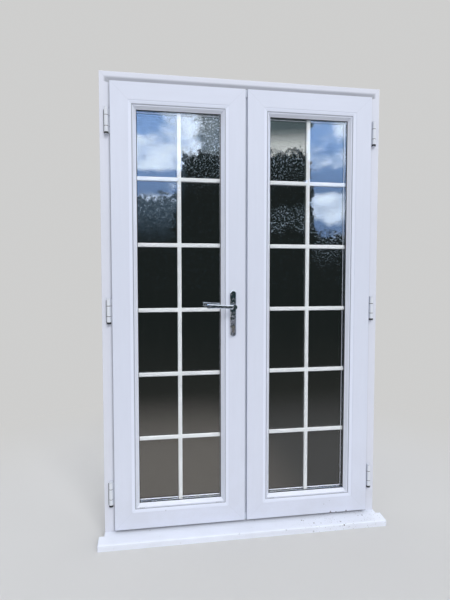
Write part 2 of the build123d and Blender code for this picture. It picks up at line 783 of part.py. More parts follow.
stile_infill = block(-stile_edge - flange - 1, -lock_body_edge, -seal_gap, sash_back, body_bottom, body_top)
hardware_groove = block(groove_back, 0, groove_y0, groove_y1, body_bottom - 1, body_top + 1)
pockets = [block(back - pocket_gap, groove_back + 1, case_y0 - pocket_gap, case_y1 + pocket_gap,
                 low - pocket_gap, high + pocket_gap) for back, low, high in case_boxes]
through_holes = [rod(spindle_x, spindle_height, neck_radius + 1, face_y - 1, sash_back + 1),
                 cylinder_solid(face_y - 1, sash_back + 1, 1.0)]
through_holes += [rod(spindle_x, z, screw_radius + pocket_gap, face_y - 1, sash_back + 1)
                  for z in fixing_screws]
through_holes += drain_slots(-sash_x, -stile_edge)
active_ring = welded_ring(sash_section, -sash_x, -stile_edge, sash_bottom, sash_top)
with BuildPart() as active_sash:
    add(active_ring)
    add(stile_infill)
    add(hardware_groove, mode=Mode.SUBTRACT)
    for cut in pockets + through_holes:
        add(cut, mode=Mode.SUBTRACT)
keep(active_sash.part, "active_sash")

# The stile's steel stops short of each case and of the handle's screws
steel_gap = 3.0
main_span = (min(case_bottom, fixing_screws[0] - 3 * screw_radius),
             max(case_top, fixing_screws[1] + 3 * screw_radius))
breaks = sorted([main_span] + [(z - bolt_case_half, z + bolt_case_half) for z in bolt_heights])
lows = [full_span[0]] + [high + steel_gap for low, high in breaks]
highs = [low - steel_gap for low, high in breaks] + [full_span[1]]
lock_spans = list(zip(lows, highs))
keep(reinforcement_set(-sash_x, -stile_edge, [full_span], lock_spans), "active_reinforcement")

# Lock: faceplate in the groove's mouth, drive rail behind it, three cases
def bolt_slots(x0, x1, extra, travel):
    """Slots for the bolts through the faceplate or the rail, lengthened by the rail's travel."""
    slots = []
    for z, thick, tall in ((latch_height, latch_thickness, latch_tall),
                           (deadbolt_height, deadbolt_thickness, deadbolt_tall)):
        slots.append(block(x0, x1, lock_plane - thick / 2 - extra, lock_plane + thick / 2 + extra,
                           z - tall / 2 - extra - travel, z + tall / 2 + extra + travel))
    for z in bolt_heights:
        slots.append(block(x0, x1, lock_plane - bolt_radius - extra, lock_plane + bolt_radius + extra,
                           z - bolt_radius - extra - travel, z + bolt_radius + extra + travel))
    return slots


faceplate_bar = block(plate_x0, plate_x1, groove_y0 + clearance, groove_y1 - clearance, lock_low, lock_high)
faceplate_slots = bolt_slots(plate_x0 - 1, plate_x1 + 1, clearance, 0)
with BuildPart() as lock_faceplate:
    add(faceplate_bar)
    corners = lock_faceplate.edges().filter_by(Axis.X)
    fillet(corners, radius=groove_width / 3)
    for slot in faceplate_slots:
        add(slot, mode=Mode.SUBTRACT)
keep(lock_faceplate.part, "lock_faceplate")

rail_bar = block(rail_x0, rail_x1, lock_plane - rail_width / 2, lock_plane + rail_width / 2,
                 lock_low + rail_end, lock_high - rail_end)
rail_slots = bolt_slots(rail_x0 - 1, rail_x1 + 1, clearance, rail_travel + 2)
with BuildPart() as drive_rail:
    add(rail_bar)
    for slot in rail_slots:
        add(slot, mode=Mode.SUBTRACT)
keep(drive_rail.part, "drive_rail")

case_pieces = [block(back, case_front, case_y0, case_y1, low, high) for back, low, high in case_boxes]
case_cuts = [
    rod(spindle_x, spindle_height, follower_radius + pin_clearance, case_y0 - 1, case_y1 + 1),
    cylinder_solid(case_y0 - 1, case_y1 + 1, clearance),
    rod(spindle_x, cylinder_height, cam_radius + 1, lock_plane - cam_depth / 2 - 1,
        lock_plane + cam_depth / 2 + 1),
    block(case_front + 1, case_front - deadbolt_length, lock_plane - deadbolt_thickness / 2 - clearance,
          lock_plane + deadbolt_thickness / 2 + clearance, deadbolt_height - deadbolt_tall / 2 - clearance,
          deadbolt_height + deadbolt_tall / 2 + clearance),
    block(case_front + 1, case_front - latch_length - 2, lock_plane - latch_thickness / 2 - clearance,
          lock_plane + latch_thickness / 2 + clearance, latch_height - latch_tall / 2 - clearance,
          latch_height + latch_tall / 2 + clearance)]
case_cuts += [rod(spindle_x, z, screw_radius + 1, case_y0 - 1, case_y1 + 1) for z in fixing_screws]
case_cuts += [cross_rod(lock_plane, z, bolt_radius + clearance, bolt_case_back + 2, case_front + 1)
              for z in bolt_heights]
with BuildPart() as lock_cases:
    for piece in case_pieces:
        add(piece)
    for cut in case_cuts:
        add(cut, mode=Mode.SUBTRACT)
keep(lock_cases.part, "lock_cases")

# Bolts in the lock
deadbolt_x1 = plate_x1 - sunk
with BuildPart() as deadbolt:
    with BuildSketch(Plane.YZ.offset(deadbolt_x1 - deadbolt_length)):
        with Locations((lock_plane, deadbolt_height)):
            Rectangle(deadbolt_thickness, deadbolt_tall)
    extrude(amount=deadbolt_length)
    chamfer(deadbolt.faces().sort_by(Axis.X)[-1].edges(), length=1.0)
keep(deadbolt.part, "deadbolt")

latch_x1 = -lock_body_edge + latch_projection
with BuildPart() as latch_bolt:
    with BuildSketch(Plane.XY.offset(latch_height - latch_tall / 2)):
        with BuildLine():
            x0 = latch_x1 - latch_length
            y0, y1 = lock_plane - latch_thickness / 2, lock_plane + latch_thickness / 2
            Polyline((x0, y0), (latch_x1, y0), (latch_x1, y0 + 2), (latch_x1 - latch_projection + 0.5, y1),
                     (x0, y1), close=True)
        make_face()
    extrude(amount=latch_tall)
keep(latch_bolt.part, "latch_bolt")

throw_x1 = plate_x1 - sunk
with BuildPart() as throw_bolts:
    for z in bolt_heights:
        with BuildSketch(Plane.YZ.offset(throw_x1 - bolt_length)):
            with Locations((lock_plane, z)):
                Circle(bolt_radius)
        extrude(amount=bolt_length)
    tips = throw_bolts.edges().filter_by(GeomType.CIRCLE).group_by(Axis.X)[-1]
    chamfer(tips, length=1.0)
keep(throw_bolts.part, "throw_bolts")

# Cylinder: body, and the two plugs with their cam between them
plate_face_out = face_y - plate_thickness
plate_face_in = sash_back + plate_thickness
cylinder_y0, cylinder_y1 = plate_face_out - 2, plate_face_in + 2
cylinder_bar = cylinder_solid(cylinder_y0, cylinder_y1, 0)
plug_bore = rod(spindle_x, cylinder_height, plug_radius + pin_clearance, cylinder_y0 - 1, cylinder_y1 + 1)
cam_gap = rod(spindle_x, cylinder_height, cam_radius + 0.5, lock_plane - cam_depth / 2 - 0.5,
              lock_plane + cam_depth / 2 + 0.5)
with BuildPart() as cylinder_body:
    add(cylinder_bar)
    add(plug_bore, mode=Mode.SUBTRACT)
    add(cam_gap, mode=Mode.SUBTRACT)
keep(cylinder_body.part, "cylinder_body")

plug = rod(spindle_x, cylinder_height, plug_radius, cylinder_y0 - 0.5, cylinder_y1 + 0.5)
with BuildPart() as cylinder_plugs:
    add(plug)
    with BuildSketch(Plane.XZ.offset(-(lock_plane + cam_depth / 2))):
        with Locations((spindle_x, cylinder_height)):
            Circle(plug_radius + 1)
        with Locations((spindle_x, cylinder_height + cam_radius / 2)):
            Rectangle(6, cam_radius - 1)
    extrude(amount=cam_depth)
    for y, depth in ((cylinder_y0 - 1, 9), (cylinder_y1 + 1 - 9, 9)):
        with BuildSketch(Plane.XZ.offset(-(y + depth))):
            with Locations((spindle_x, cylinder_height)):
                Rectangle(2.2, 8)
        extrude(amount=depth, mode=Mode.SUBTRACT)
keep(cylinder_plugs.part, "cylinder_plugs")


# Handles
def handle_plate(y_seat, y_face):
    """A long plate with round ends, bored for the lever's neck and cut for the cylinder."""
    low, high = min(y_seat, y_face), max(y_seat, y_face)
    neck_hole = rod(spindle_x, spindle_height, neck_radius + pin_clearance, low - 5, high + 5)
    cylinder_hole = cylinder_solid(low - 1, high + 1, clearance)
    with BuildPart() as plate:
        with BuildSketch(Plane.XZ.offset(-high)):
            with Locations(Location((spindle_x, (plate_top + plate_bottom) / 2, 0), (0, 0, 90))):
                SlotOverall(plate_top - plate_bottom, plate_width)
        extrude(amount=high - low)
        front = plate.faces().filter_by(Axis.Y).sort_by(Axis.Y)[0 if y_face < y_seat else -1]
        chamfer(front.edges(), length=plate_bevel)
        collar_base = y_face - plate_collar if y_face < y_seat else y_face - 1
        with BuildSketch(Plane.XZ.offset(-(collar_base + plate_collar + 1))):
            with Locations((spindle_x, spindle_height)):
                Circle(neck_radius + wall)
        extrude(amount=plate_collar + 1)
        add(neck_hole, mode=Mode.SUBTRACT)
        add(cylinder_hole, mode=Mode.SUBTRACT)
    return plate.part


outside_plate = handle_plate(face_y, plate_face_out)
inside_plate = handle_plate(sash_back, plate_face_in)
screw_holes = [rod(spindle_x, z, screw_radius + clearance, face_y - screw_bite - pocket_gap,
                   plate_face_in + 1) for z in fixing_screws]
head_depth = 2.4
with BuildPart() as outside_handle_plate:
    add(outside_plate)
    for hole in screw_holes:
        add(hole, mode=Mode.SUBTRACT)
keep(outside_handle_plate.part, "outside_handle_plate")
with BuildPart() as inside_handle_plate:
    add(inside_plate)
    for hole in screw_holes:
        add(hole, mode=Mode.SUBTRACT)
    for z in fixing_screws:
        with BuildSketch(Plane.XZ.offset(-plate_face_in)):
            with Locations((spindle_x, z)):
                Circle(2 * screw_radius + clearance)
        extrude(amount=head_depth + sunk, mode=Mode.SUBTRACT)
keep(inside_handle_plate.part, "inside_handle_plate")

with BuildPart() as handle_screws:
    for z in fixing_screws:
        with BuildSketch(Plane.XZ.offset(-(plate_face_in - sunk))):
            with Locations((spindle_x, z)):
                Circle(2 * screw_radius)
        extrude(amount=head_depth - sunk)
        with BuildSketch(Plane.XZ.offset(-(plate_face_in - head_depth))):
            with Locations((spindle_x, z)):
                Circle(screw_radius)
        extrude(amount=plate_face_in - head_depth - face_y + screw_bite)
        with BuildSketch(Plane.XZ.offset(-(plate_face_in - sunk))):
            with Locations((spindle_x, z)):
                Rectangle(3 * screw_radius, 1)
                Rectangle(1, 3 * screw_radius)
        extrude(amount=head_depth / 2, mode=Mode.SUBTRACT)
keep(handle_screws.part, "handle_screws")


def lever(y_plate, outwards):
    """A lever: round neck through the plate and an arm that thins and then swells towards its blunt tip."""
    arm_y = y_plate + outwards * lever_standoff
    root_y = y_plate - outwards * (plate_thickness - 1)
    stations = ((neck_radius, 19.0, 12.0, 0.0), (-0.2 * lever_reach, 16.8, 10.6, 0.8),
                (-0.4 * lever_reach, 16.0, 10.0, 2.2), (-0.6 * lever_reach, 16.5, 10.2, 3.5),
                (-0.8 * lever_reach, 18.2, 11.0, 4.5), (-lever_reach + lever_tip, 20.0, 12.0, 5.0),
                (-lever_reach, 14.0, 6.5, 5.0))
    hub = rod(spindle_x, spindle_height, neck_radius, min(root_y, arm_y), max(root_y, arm_y))
    cap = rod(spindle_x, spindle_height, neck_radius + 1.5, arm_y - 6.5, arm_y + 6.5)
    square = spindle_size / 2 + snug
    socket_y = sorted((root_y - outwards, root_y + outwards * spindle_socket))
    socket = block(spindle_x - square, spindle_x + square, *socket_y, spindle_height - square,
                   spindle_height + square)
    with BuildPart() as arm:
        for reach, height, depth, rise in stations:
            plane = Plane(origin=(spindle_x + reach, arm_y, spindle_height + rise), x_dir=(0, 1, 0),
                          z_dir=(-1, 0, 0))
            with BuildSketch(plane) as section:
                Rectangle(depth, height)
                chamfer(section.vertices(), length=lever_bevel * depth)
        loft(ruled=True)
    with BuildPart() as whole:
        add(arm.part)
        add(hub)
        add(cap)
        add(socket, mode=Mode.SUBTRACT)
    return whole.part


keep(lever(plate_face_out, -1), "lever_outside")
keep(lever(plate_face_in, 1), "lever_inside")

spindle_y0 = plate_face_out + plate_thickness - 1 - spindle_socket + pocket_gap
spindle_y1 = plate_face_in - plate_thickness + 1 + spindle_socket - pocket_gap
half_spindle = spindle_size / 2
spindle_bar = block(spindle_x - half_spindle, spindle_x + half_spindle, spindle_y0, spindle_y1,
                    spindle_height - half_spindle, spindle_height + half_spindle)
keep(spindle_bar, "spindle")
follower_disc = rod(spindle_x, spindle_height, follower_radius, case_y0, case_y1)
follower_half = half_spindle + snug
follower_hole = block(spindle_x - follower_half, spindle_x + follower_half, case_y0 - 1, case_y1 + 1,
                      spindle_height - follower_half, spindle_height + follower_half)
with BuildPart() as lock_follower:
    add(follower_disc)
    add(follower_hole, mode=Mode.SUBTRACT)
keep(lock_follower.part, "lock_follower")

# Meeting mullion on the passive leaf
mullion_front = -seal_gap + clearance
mullion_back = sash_back + clearance + cover_thickness
body_side = stile_edge + flange - clearance
chamber_x0, chamber_x1 = mullion_side + wall, body_side - wall
chamber_y0, chamber_y1 = mullion_front + nose_depth + wall + 1, sash_back - wall
with BuildPart() as mullion_bar:
    with BuildSketch(Plane.XY.offset(mullion_bottom)) as mullion_section:
        with BuildLine():
            Polyline((-mullion_nose, mullion_front), (body_side, mullion_front),
                     (body_side, sash_back + clearance), (cover_width, sash_back + clearance),
                     (cover_width, mullion_back - wall),
                     (cover_width - wall, mullion_back), (mullion_side + wall, mullion_back),
                     (mullion_side, mullion_back - wall), (mullion_side, mullion_front + nose_depth),
                     (-mullion_nose, mullion_front + nose_depth), close=True)
        make_face()
        with Locations(((chamber_x0 + chamber_x1) / 2, (chamber_y0 + chamber_y1) / 2)):
            Rectangle(chamber_x1 - chamber_x0, chamber_y1 - chamber_y0, mode=Mode.SUBTRACT)
    extrude(amount=mullion_top - mullion_bottom)
latch_zone = (deadbolt_height - deadbolt_tall / 2 - strike_end, latch_height + latch_tall / 2 + strike_end)
keep_spans = [latch_zone] + [(z - bolt_strike_half, z + bolt_strike_half) for z in bolt_heights]
keep_y0, keep_y1 = lock_plane - strike_width / 2, lock_plane + strike_width / 2
keep_recesses = [block(mullion_side - 1, mullion_side + keep_thickness, keep_y0, keep_y1, low, high)
                 for low, high in keep_spans]
mullion_holes = [cross_rod(lock_plane, z, bolt_radius + 1, mullion_side - 1, chamber_x0 + 1)
                 for z in bolt_heights]
mullion_holes.append(block(mullion_side - 1, chamber_x0 + 1, lock_plane - deadbolt_thickness / 2 - 1,
                           lock_plane + deadbolt_thickness / 2 + 1, deadbolt_height - deadbolt_tall / 2 - 1,
                           deadbolt_height + deadbolt_tall / 2 + 1))
tab_half = tab_width / 2
shoot_top = mullion_top + cap_reach - 1
shoot_bottom = mullion_bottom - cap_reach + 1
top_tab = shoot_top - shoot_length + tab_inset
bottom_tab = shoot_bottom + shoot_length - tab_inset - tab_length
finger_slots = [block(mullion_side - 1, chamber_x0 + 1, shoot_y - tab_half - slot_gap,
                      shoot_y + tab_half + slot_gap, low - slot_gap, high + slot_gap)
                for low, high in ((top_tab, top_tab + tab_length + shoot_travel),
                                  (bottom_tab - shoot_travel, bottom_tab + tab_length))]
with BuildPart() as mullion:
    add(mullion_bar.part)
    for cut in keep_recesses + mullion_holes + finger_slots:
        add(cut, mode=Mode.SUBTRACT)
keep(mullion.part, "mullion")

keep_plates = [block(mullion_side, mullion_side + keep_thickness - snug, keep_y0 + clearance,
                     keep_y1 - clearance, low + clearance, high - clearance) for low, high in keep_spans]
with BuildPart() as bolt_keeps:
    for plate in keep_plates:
        add(plate)
    for cut in mullion_holes:
        add(cut, mode=Mode.SUBTRACT)
keep(bolt_keeps.part, "bolt_keeps")


# End caps close the mullion and fill the gap between the flanges at top and bottom
def mullion_cap(z_end, z_flange, upwards):
    """A moulded cap: a block behind the flanges with the shootbolt's hole, and a filler between them."""
    body_far = z_end + upwards * cap_reach
    low, high = min(z_end, body_far), max(z_end, body_far)
    filler_far = z_flange - upwards * 1.0
    filler = block(-mullion_nose - 0.5, stile_edge - clearance, face_y + cap_recess, mullion_front,
                   min(z_end, filler_far), max(z_end, filler_far))
    neck = block(-mullion_nose, body_side, mullion_front, mullion_front + nose_depth, low, high)
    body = block(mullion_side, body_side, mullion_front, sash_back, low, high)
    hole = shoot_hole(low - 1, high + 1, pin_clearance)
    with BuildPart() as cap:
        add(body)
        add(neck)
        add(filler)
        add(hole, mode=Mode.SUBTRACT)
    return cap.part


bottom_cap = mullion_cap(mullion_bottom, sash_bottom, -1)
top_cap = mullion_cap(mullion_top, sash_top, 1)
with BuildPart() as mullion_end_caps:
    add(bottom_cap)
    add(top_cap)
keep(mullion_end_caps.part, "mullion_end_caps")

with BuildPart() as mullion_seal:
    with BuildSketch(Plane.XY.offset(mullion_bottom)):
        with Locations((-mullion_nose - seal_bulb / 2, mullion_front + nose_depth / 2)):
            Rectangle(seal_bulb, seal_width)
    extrude(amount=mullion_top - mullion_bottom)
keep(mullion_seal.part, "mullion_seal")


# Shootbolts, drawn back inside the mullion
def shootbolt(z0, z1, tab_z, leading_end):
    """A round bolt, chamfered at its leading end, with a finger tab at the slot."""
    tab = block(mullion_side + 1, shoot_x, shoot_y - tab_half, shoot_y + tab_half, tab_z, tab_z + tab_length)
    with BuildPart() as bolt:
        with BuildSketch(Plane.XY.offset(z0)):
            with Locations((shoot_x, shoot_y)):
                Circle(shoot_radius)
        extrude(amount=z1 - z0)
        rims = bolt.edges().filter_by(GeomType.CIRCLE).sort_by(Axis.Z)
        chamfer(rims[leading_end], length=1.0)
        add(tab)
    return bolt.part


keep(shootbolt(shoot_top - shoot_length, shoot_top, top_tab, -1), "shootbolt_top")
keep(shootbolt(shoot_bottom, shoot_bottom + shoot_length, bottom_tab, 0), "shootbolt_bottom")
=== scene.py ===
"""Looks of a pair of outward opening french doors: white plastic profiles, sealed glass, hinges and lock."""
import logging
import math
from dataclasses import dataclass
from enum import Enum
from functools import cached_property
from typing import Any, Optional, Union

import bmesh
import bpy
from mathutils import Matrix, Vector


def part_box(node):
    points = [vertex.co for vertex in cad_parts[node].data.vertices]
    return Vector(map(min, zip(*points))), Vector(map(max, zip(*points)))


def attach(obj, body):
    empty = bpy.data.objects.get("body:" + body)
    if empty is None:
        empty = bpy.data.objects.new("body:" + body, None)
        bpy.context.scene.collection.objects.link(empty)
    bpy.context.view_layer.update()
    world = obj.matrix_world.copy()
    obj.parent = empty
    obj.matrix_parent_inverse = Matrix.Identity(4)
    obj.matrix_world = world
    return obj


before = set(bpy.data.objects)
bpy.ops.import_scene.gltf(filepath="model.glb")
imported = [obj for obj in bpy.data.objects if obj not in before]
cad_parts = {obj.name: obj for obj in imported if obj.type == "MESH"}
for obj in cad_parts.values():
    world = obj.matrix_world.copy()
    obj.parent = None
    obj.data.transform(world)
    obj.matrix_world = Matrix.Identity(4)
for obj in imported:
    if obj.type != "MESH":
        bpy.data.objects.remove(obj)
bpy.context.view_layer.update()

NODES: dict[str, bpy.types.Object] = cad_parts
log = logging.getLogger("french_doors")

Colour = Point = tuple[float, float, float]
Mark = tuple[float, float, float, float]
Outline = tuple[tuple[float, float], ...]
Socket = bpy.types.NodeSocket
Number = Union[int, float, "Wire"]
Inputs = dict[Union[str, int], Any]
Mesh = bmesh.types.BMesh
Loop = list[bmesh.types.BMVert]

WHITE: Colour = (1.0, 1.0, 1.0)
TO_DEGREES = 57.296
DIAGONAL = 0.7071
REFRACTION = 1.52
SMOOTH_BELOW = math.radians(35)
BEVEL_ABOVE = math.radians(30)
BEVEL_SEGMENTS = 3

# Spots of dirt: the middle's x, y and z, and the radius.
SILL_MARKS: tuple[Mark, ...] = (
    (0.262, -0.038, 0.0315, 0.0046), (0.270, -0.043, 0.031, 0.0028), (0.312, -0.066, 0.0290, 0.0042),
    (0.440, -0.073, 0.0280, 0.0046), (0.449, -0.093, 0.023, 0.0042))
ACTIVE_MARKS: tuple[Mark, ...] = ((-0.3665, -0.018, 0.1205, 0.0023), (-0.3745, -0.018, 0.1265, 0.0014))
PASSIVE_MARKS: tuple[Mark, ...] = (
    (0.4120, -0.018, 0.0475, 0.0050), (0.4400, -0.018, 0.0465, 0.0040), (0.4900, -0.018, 0.0480, 0.0048),
    (0.3780, -0.018, 0.0900, 0.0016), (0.4050, -0.018, 0.1040, 0.0013))


def shaded(colour: Colour, share: float) -> Colour:
    """A colour made darker or, above 1, lighter."""
    return tuple(part * share for part in colour)


class Side(Enum):
    """The two leaves, by the side they hang on seen from outside."""

    ACTIVE = -1
    PASSIVE = 1


class Grain(Enum):
    """The way that the lines of a drawn or extruded piece run."""

    ALONG_X = "x"
    ALONG_Z = "z"


class Wire:
    """A number socket that ordinary arithmetic can be written on."""

    def __init__(self, canvas: "Canvas", socket: Socket) -> None:
        """Hold an output that carries one number, and the canvas that it is on."""
        self.canvas = canvas
        self.socket = socket

    def math(self, operation: str, *others: Number) -> "Wire":
        """Add one Math node behind this socket, with further numbers or wires as its other inputs."""
        return self.canvas.math(operation, self, *others)

    def __add__(self, other: Number) -> "Wire":
        """Sum with a number or wire."""
        return self.math("ADD", other)

    __radd__ = __add__

    def __sub__(self, other: Number) -> "Wire":
        """Difference with a number or wire."""
        return self.math("SUBTRACT", other)

    def __rsub__(self, other: Number) -> "Wire":
        """Difference of a number and this wire."""
        return self.canvas.math("SUBTRACT", other, self)

    def __mul__(self, other: Number) -> "Wire":
        """Product with a number or wire."""
        return self.math("MULTIPLY", other)

    __rmul__ = __mul__

    def __abs__(self) -> "Wire":
        """Size without sign."""
        return self.math("ABSOLUTE")

    def __pow__(self, power: Number) -> "Wire":
        """Power of a number or wire."""
        return self.math("POWER", power)

    def low(self, other: Number) -> "Wire":
        """The smaller of the two."""
        return self.math("MINIMUM", other)

    def high(self, other: Number) -> "Wire":
        """The larger of the two."""
        return self.math("MAXIMUM", other)

    def sine(self) -> "Wire":
        """Sine of an angle in radians."""
        return self.math("SINE")

    def swing(self, width: float) -> "Wire":
        """A noise about 0.5 as a swing about 0, of that width."""
        return (self - 0.5) * width

    def step(self, start: float, end: float) -> "Wire":
        """Rise smoothly from 0 at start to 1 at end, or fall where end is the smaller.

        Args:
            start: Where the result is 0.
            end: Where the result is 1.

        Returns:
            The wire of the result, between 0 and 1.
        """
        if end < start:
            return 1.0 - self.step(end, start)
        node = self.canvas.node("ShaderNodeMapRange", {"interpolation_type": "SMOOTHSTEP"},
                                {"Value": self, "From Min": start, "From Max": end})
        return self.canvas.wire(node, "Result")


class Canvas:
    """The node tree of one material or of the world."""

    def __init__(self, tree: bpy.types.NodeTree) -> None:
        """Empty a tree so that a finish can be drawn in it."""
        self.tree = tree
        tree.nodes.clear()

    def node(self, kind: str, settings: Optional[dict[str, Any]] = None,
             inputs: Optional[Inputs] = None) -> bpy.types.Node:
        """Add one node.

        Args:
            kind: The node's type.
            settings: Its properties, set first.
            inputs: Values, colours, wires or sockets, by the input's name or number.

        Returns:
            The new node.
        """
        node = self.tree.nodes.new(kind)
        for name, value in (settings or {}).items():
            setattr(node, name, value)
        for name, value in (inputs or {}).items():
            source = value.socket if isinstance(value, Wire) else value
            if isinstance(source, Socket):
                self.tree.links.new(source, node.inputs[name])
            elif isinstance(source, tuple):
                node.inputs[name].default_value = (*source, 1.0)
            else:
                node.inputs[name].default_value = source
        return node

    def wire(self, node: bpy.types.Node, output: Union[str, int] = 0) -> Wire:
        """Wrap one output of a node."""
        return Wire(self, node.outputs[output])

    def math(self, operation: str, *values: Number) -> Wire:
        """Add one Math node with its inputs in order."""
        return self.wire(self.node("ShaderNodeMath", {"operation": operation}, dict(enumerate(values))))

    def parts(self, vector: Socket) -> tuple[Wire, ...]:
        """Split a vector into X, Y and Z."""
        node = self.node("ShaderNodeSeparateXYZ", None, {0: vector})
        return tuple(self.wire(node, i) for i in range(3))

    @cached_property
    def place(self) -> tuple[Wire, ...]:
        """The point's X, Y and Z in metres, in the piece's own frame."""
        return self.parts(self.node("ShaderNodeTexCoord").outputs["Object"])

    @cached_property
    def point(self) -> Socket:
        """The same point as one vector."""
        return self.vector(*self.place)

    def vector(self, x: Number, y: Number, z: Number) -> Socket:
        """Join three numbers into a vector."""
        return self.node("ShaderNodeCombineXYZ", None, {0: x, 1: y, 2: z}).outputs[0]

    def noise(self, vector: Socket, scale: float = 1.0, detail: float = 3.0, roughness: float = 0.55) -> Wire:
        """Cloudy noise about 0.5.

        Args:
            vector: The point that it is read at.
            scale: Cells to the unit of that point.
            detail: Octaves.
            roughness: Strength of the finer octaves.

        Returns:
            The wire of the noise.
        """
        node = self.node("ShaderNodeTexNoise", None,
                         {"Vector": vector, "Scale": scale, "Detail": detail, "Roughness": roughness})
        return self.wire(node)

    def cells(self, vector: Socket, scale: float) -> tuple[Wire, Wire]:
        """Random cells.

        Args:
            vector: The point that they are read at.
            scale: Cells to the unit of that point.

        Returns:
            The distance within a cell and a random number for each cell.
        """
        node = self.node("ShaderNodeTexVoronoi", None, {"Vector": vector, "Scale": scale})
        parts = self.node("ShaderNodeSeparateColor", None, {0: node.outputs["Color"]})
        return self.wire(node, "Distance"), self.wire(parts, 0)

    def blend(self, first: Union[Colour, Socket], second: Union[Colour, Socket], factor: Number) -> Socket:
        """Mix two colours, all the first at 0 and all the second at 1."""
        node = self.node("ShaderNodeMix", {"data_type": "RGBA"}, {0: factor, 6: first, 7: second})
        return node.outputs[2]

    def bump(self, height: Number, distance: float, below: Optional[Socket] = None) -> Socket:
        """Turn a height into a normal.

        Args:
            height: The height, from 0 to 1.
            distance: Metres that a height of 1 stands for.
            below: A normal that this one is laid over.

        Returns:
            The socket of the normal.
        """
        inputs: Inputs = {"Height": height, "Distance": distance, "Strength": 1.0}
        if below is not None:
            inputs["Normal"] = below
        return self.node("ShaderNodeBump", None, inputs).outputs[0]

    def shader(self, kind: str, colour: Union[Colour, Socket]) -> Socket:
        """Add a shader that needs only a colour."""
        return self.node(kind, None, {"Color": colour}).outputs[0]

    def mixed(self, factor: Number, first: Socket, second: Socket) -> Socket:
        """Mix two shaders, all the first at 0 and all the second at 1."""
        return self.node("ShaderNodeMixShader", None, {0: factor, 1: first, 2: second}).outputs[0]

    def output(self, surface: Socket) -> None:
        """Lead a shader to the material's output."""
        self.node("ShaderNodeOutputMaterial", None, {"Surface": surface})

    def principled(self, inputs: Inputs) -> None:
        """Add the principled shader and lead it to the output."""
        self.output(self.node("ShaderNodeBsdfPrincipled", None, inputs).outputs[0])

    def rays(self) -> tuple[Wire, Wire, Wire]:
        """Tell the kinds of rays apart.

        Returns:
            Masks of the rays that see the background straight or through glass, of those that glass
            mirrors, and of those that other shiny surfaces mirror.
        """
        path = self.node("ShaderNodeLightPath")
        first = self.wire(path, "Diffuse Depth").step(0.9, 0.1)
        turned = self.wire(path, "Glossy Depth").step(0.1, 0.9)
        sharp = self.wire(path, "Is Singular Ray")
        through = self.wire(path, "Is Transmission Ray")
        seen = self.wire(path, "Is Camera Ray").high(through * first * (1.0 - turned))
        glass = sharp * turned * first
        shiny = self.wire(path, "Is Glossy Ray") * (1.0 - sharp) * first
        return seen, glass, shiny


@dataclass(frozen=True)
class Frame2D:
    """The rectangle that a mitred frame is welded on, in metres; mitre is half the joint's width."""

    left: float
    right: float
    bottom: float
    top: float
    open_foot: bool = False
    mitre: float = 0.0001

    def fields(self, canvas: Canvas) -> tuple[Wire, Wire, Wire]:
        """Work out where a point lies in the welded frame.

        Args:
            canvas: The finish that asks.

        Returns:
            The distance from the frame's outer edge, the place along the profile, and the distance from
            the nearest mitre.
        """
        x, _, z = canvas.place
        side = (x - self.left).low(self.right - x)
        end = self.top - z
        if not self.open_foot:
            end = end.low(z - self.bottom)
        upright = (end - side).step(-self.mitre, self.mitre)
        along = z * upright + x * (1.0 - upright)
        return side.low(end), along, abs(side - end) * DIAGONAL


@dataclass(frozen=True)
class Finish:
    """A named look that is drawn as one material."""

    name: str

    def material(self) -> bpy.types.Material:
        """Build the finish.

        Returns:
            The new material.
        """
        material = bpy.data.materials.new(self.name)
        material.use_nodes = True
        self.draw(Canvas(material.node_tree))
        return material

    def draw(self, canvas: Canvas) -> None:
        """Draw the finish's nodes."""
        raise NotImplementedError


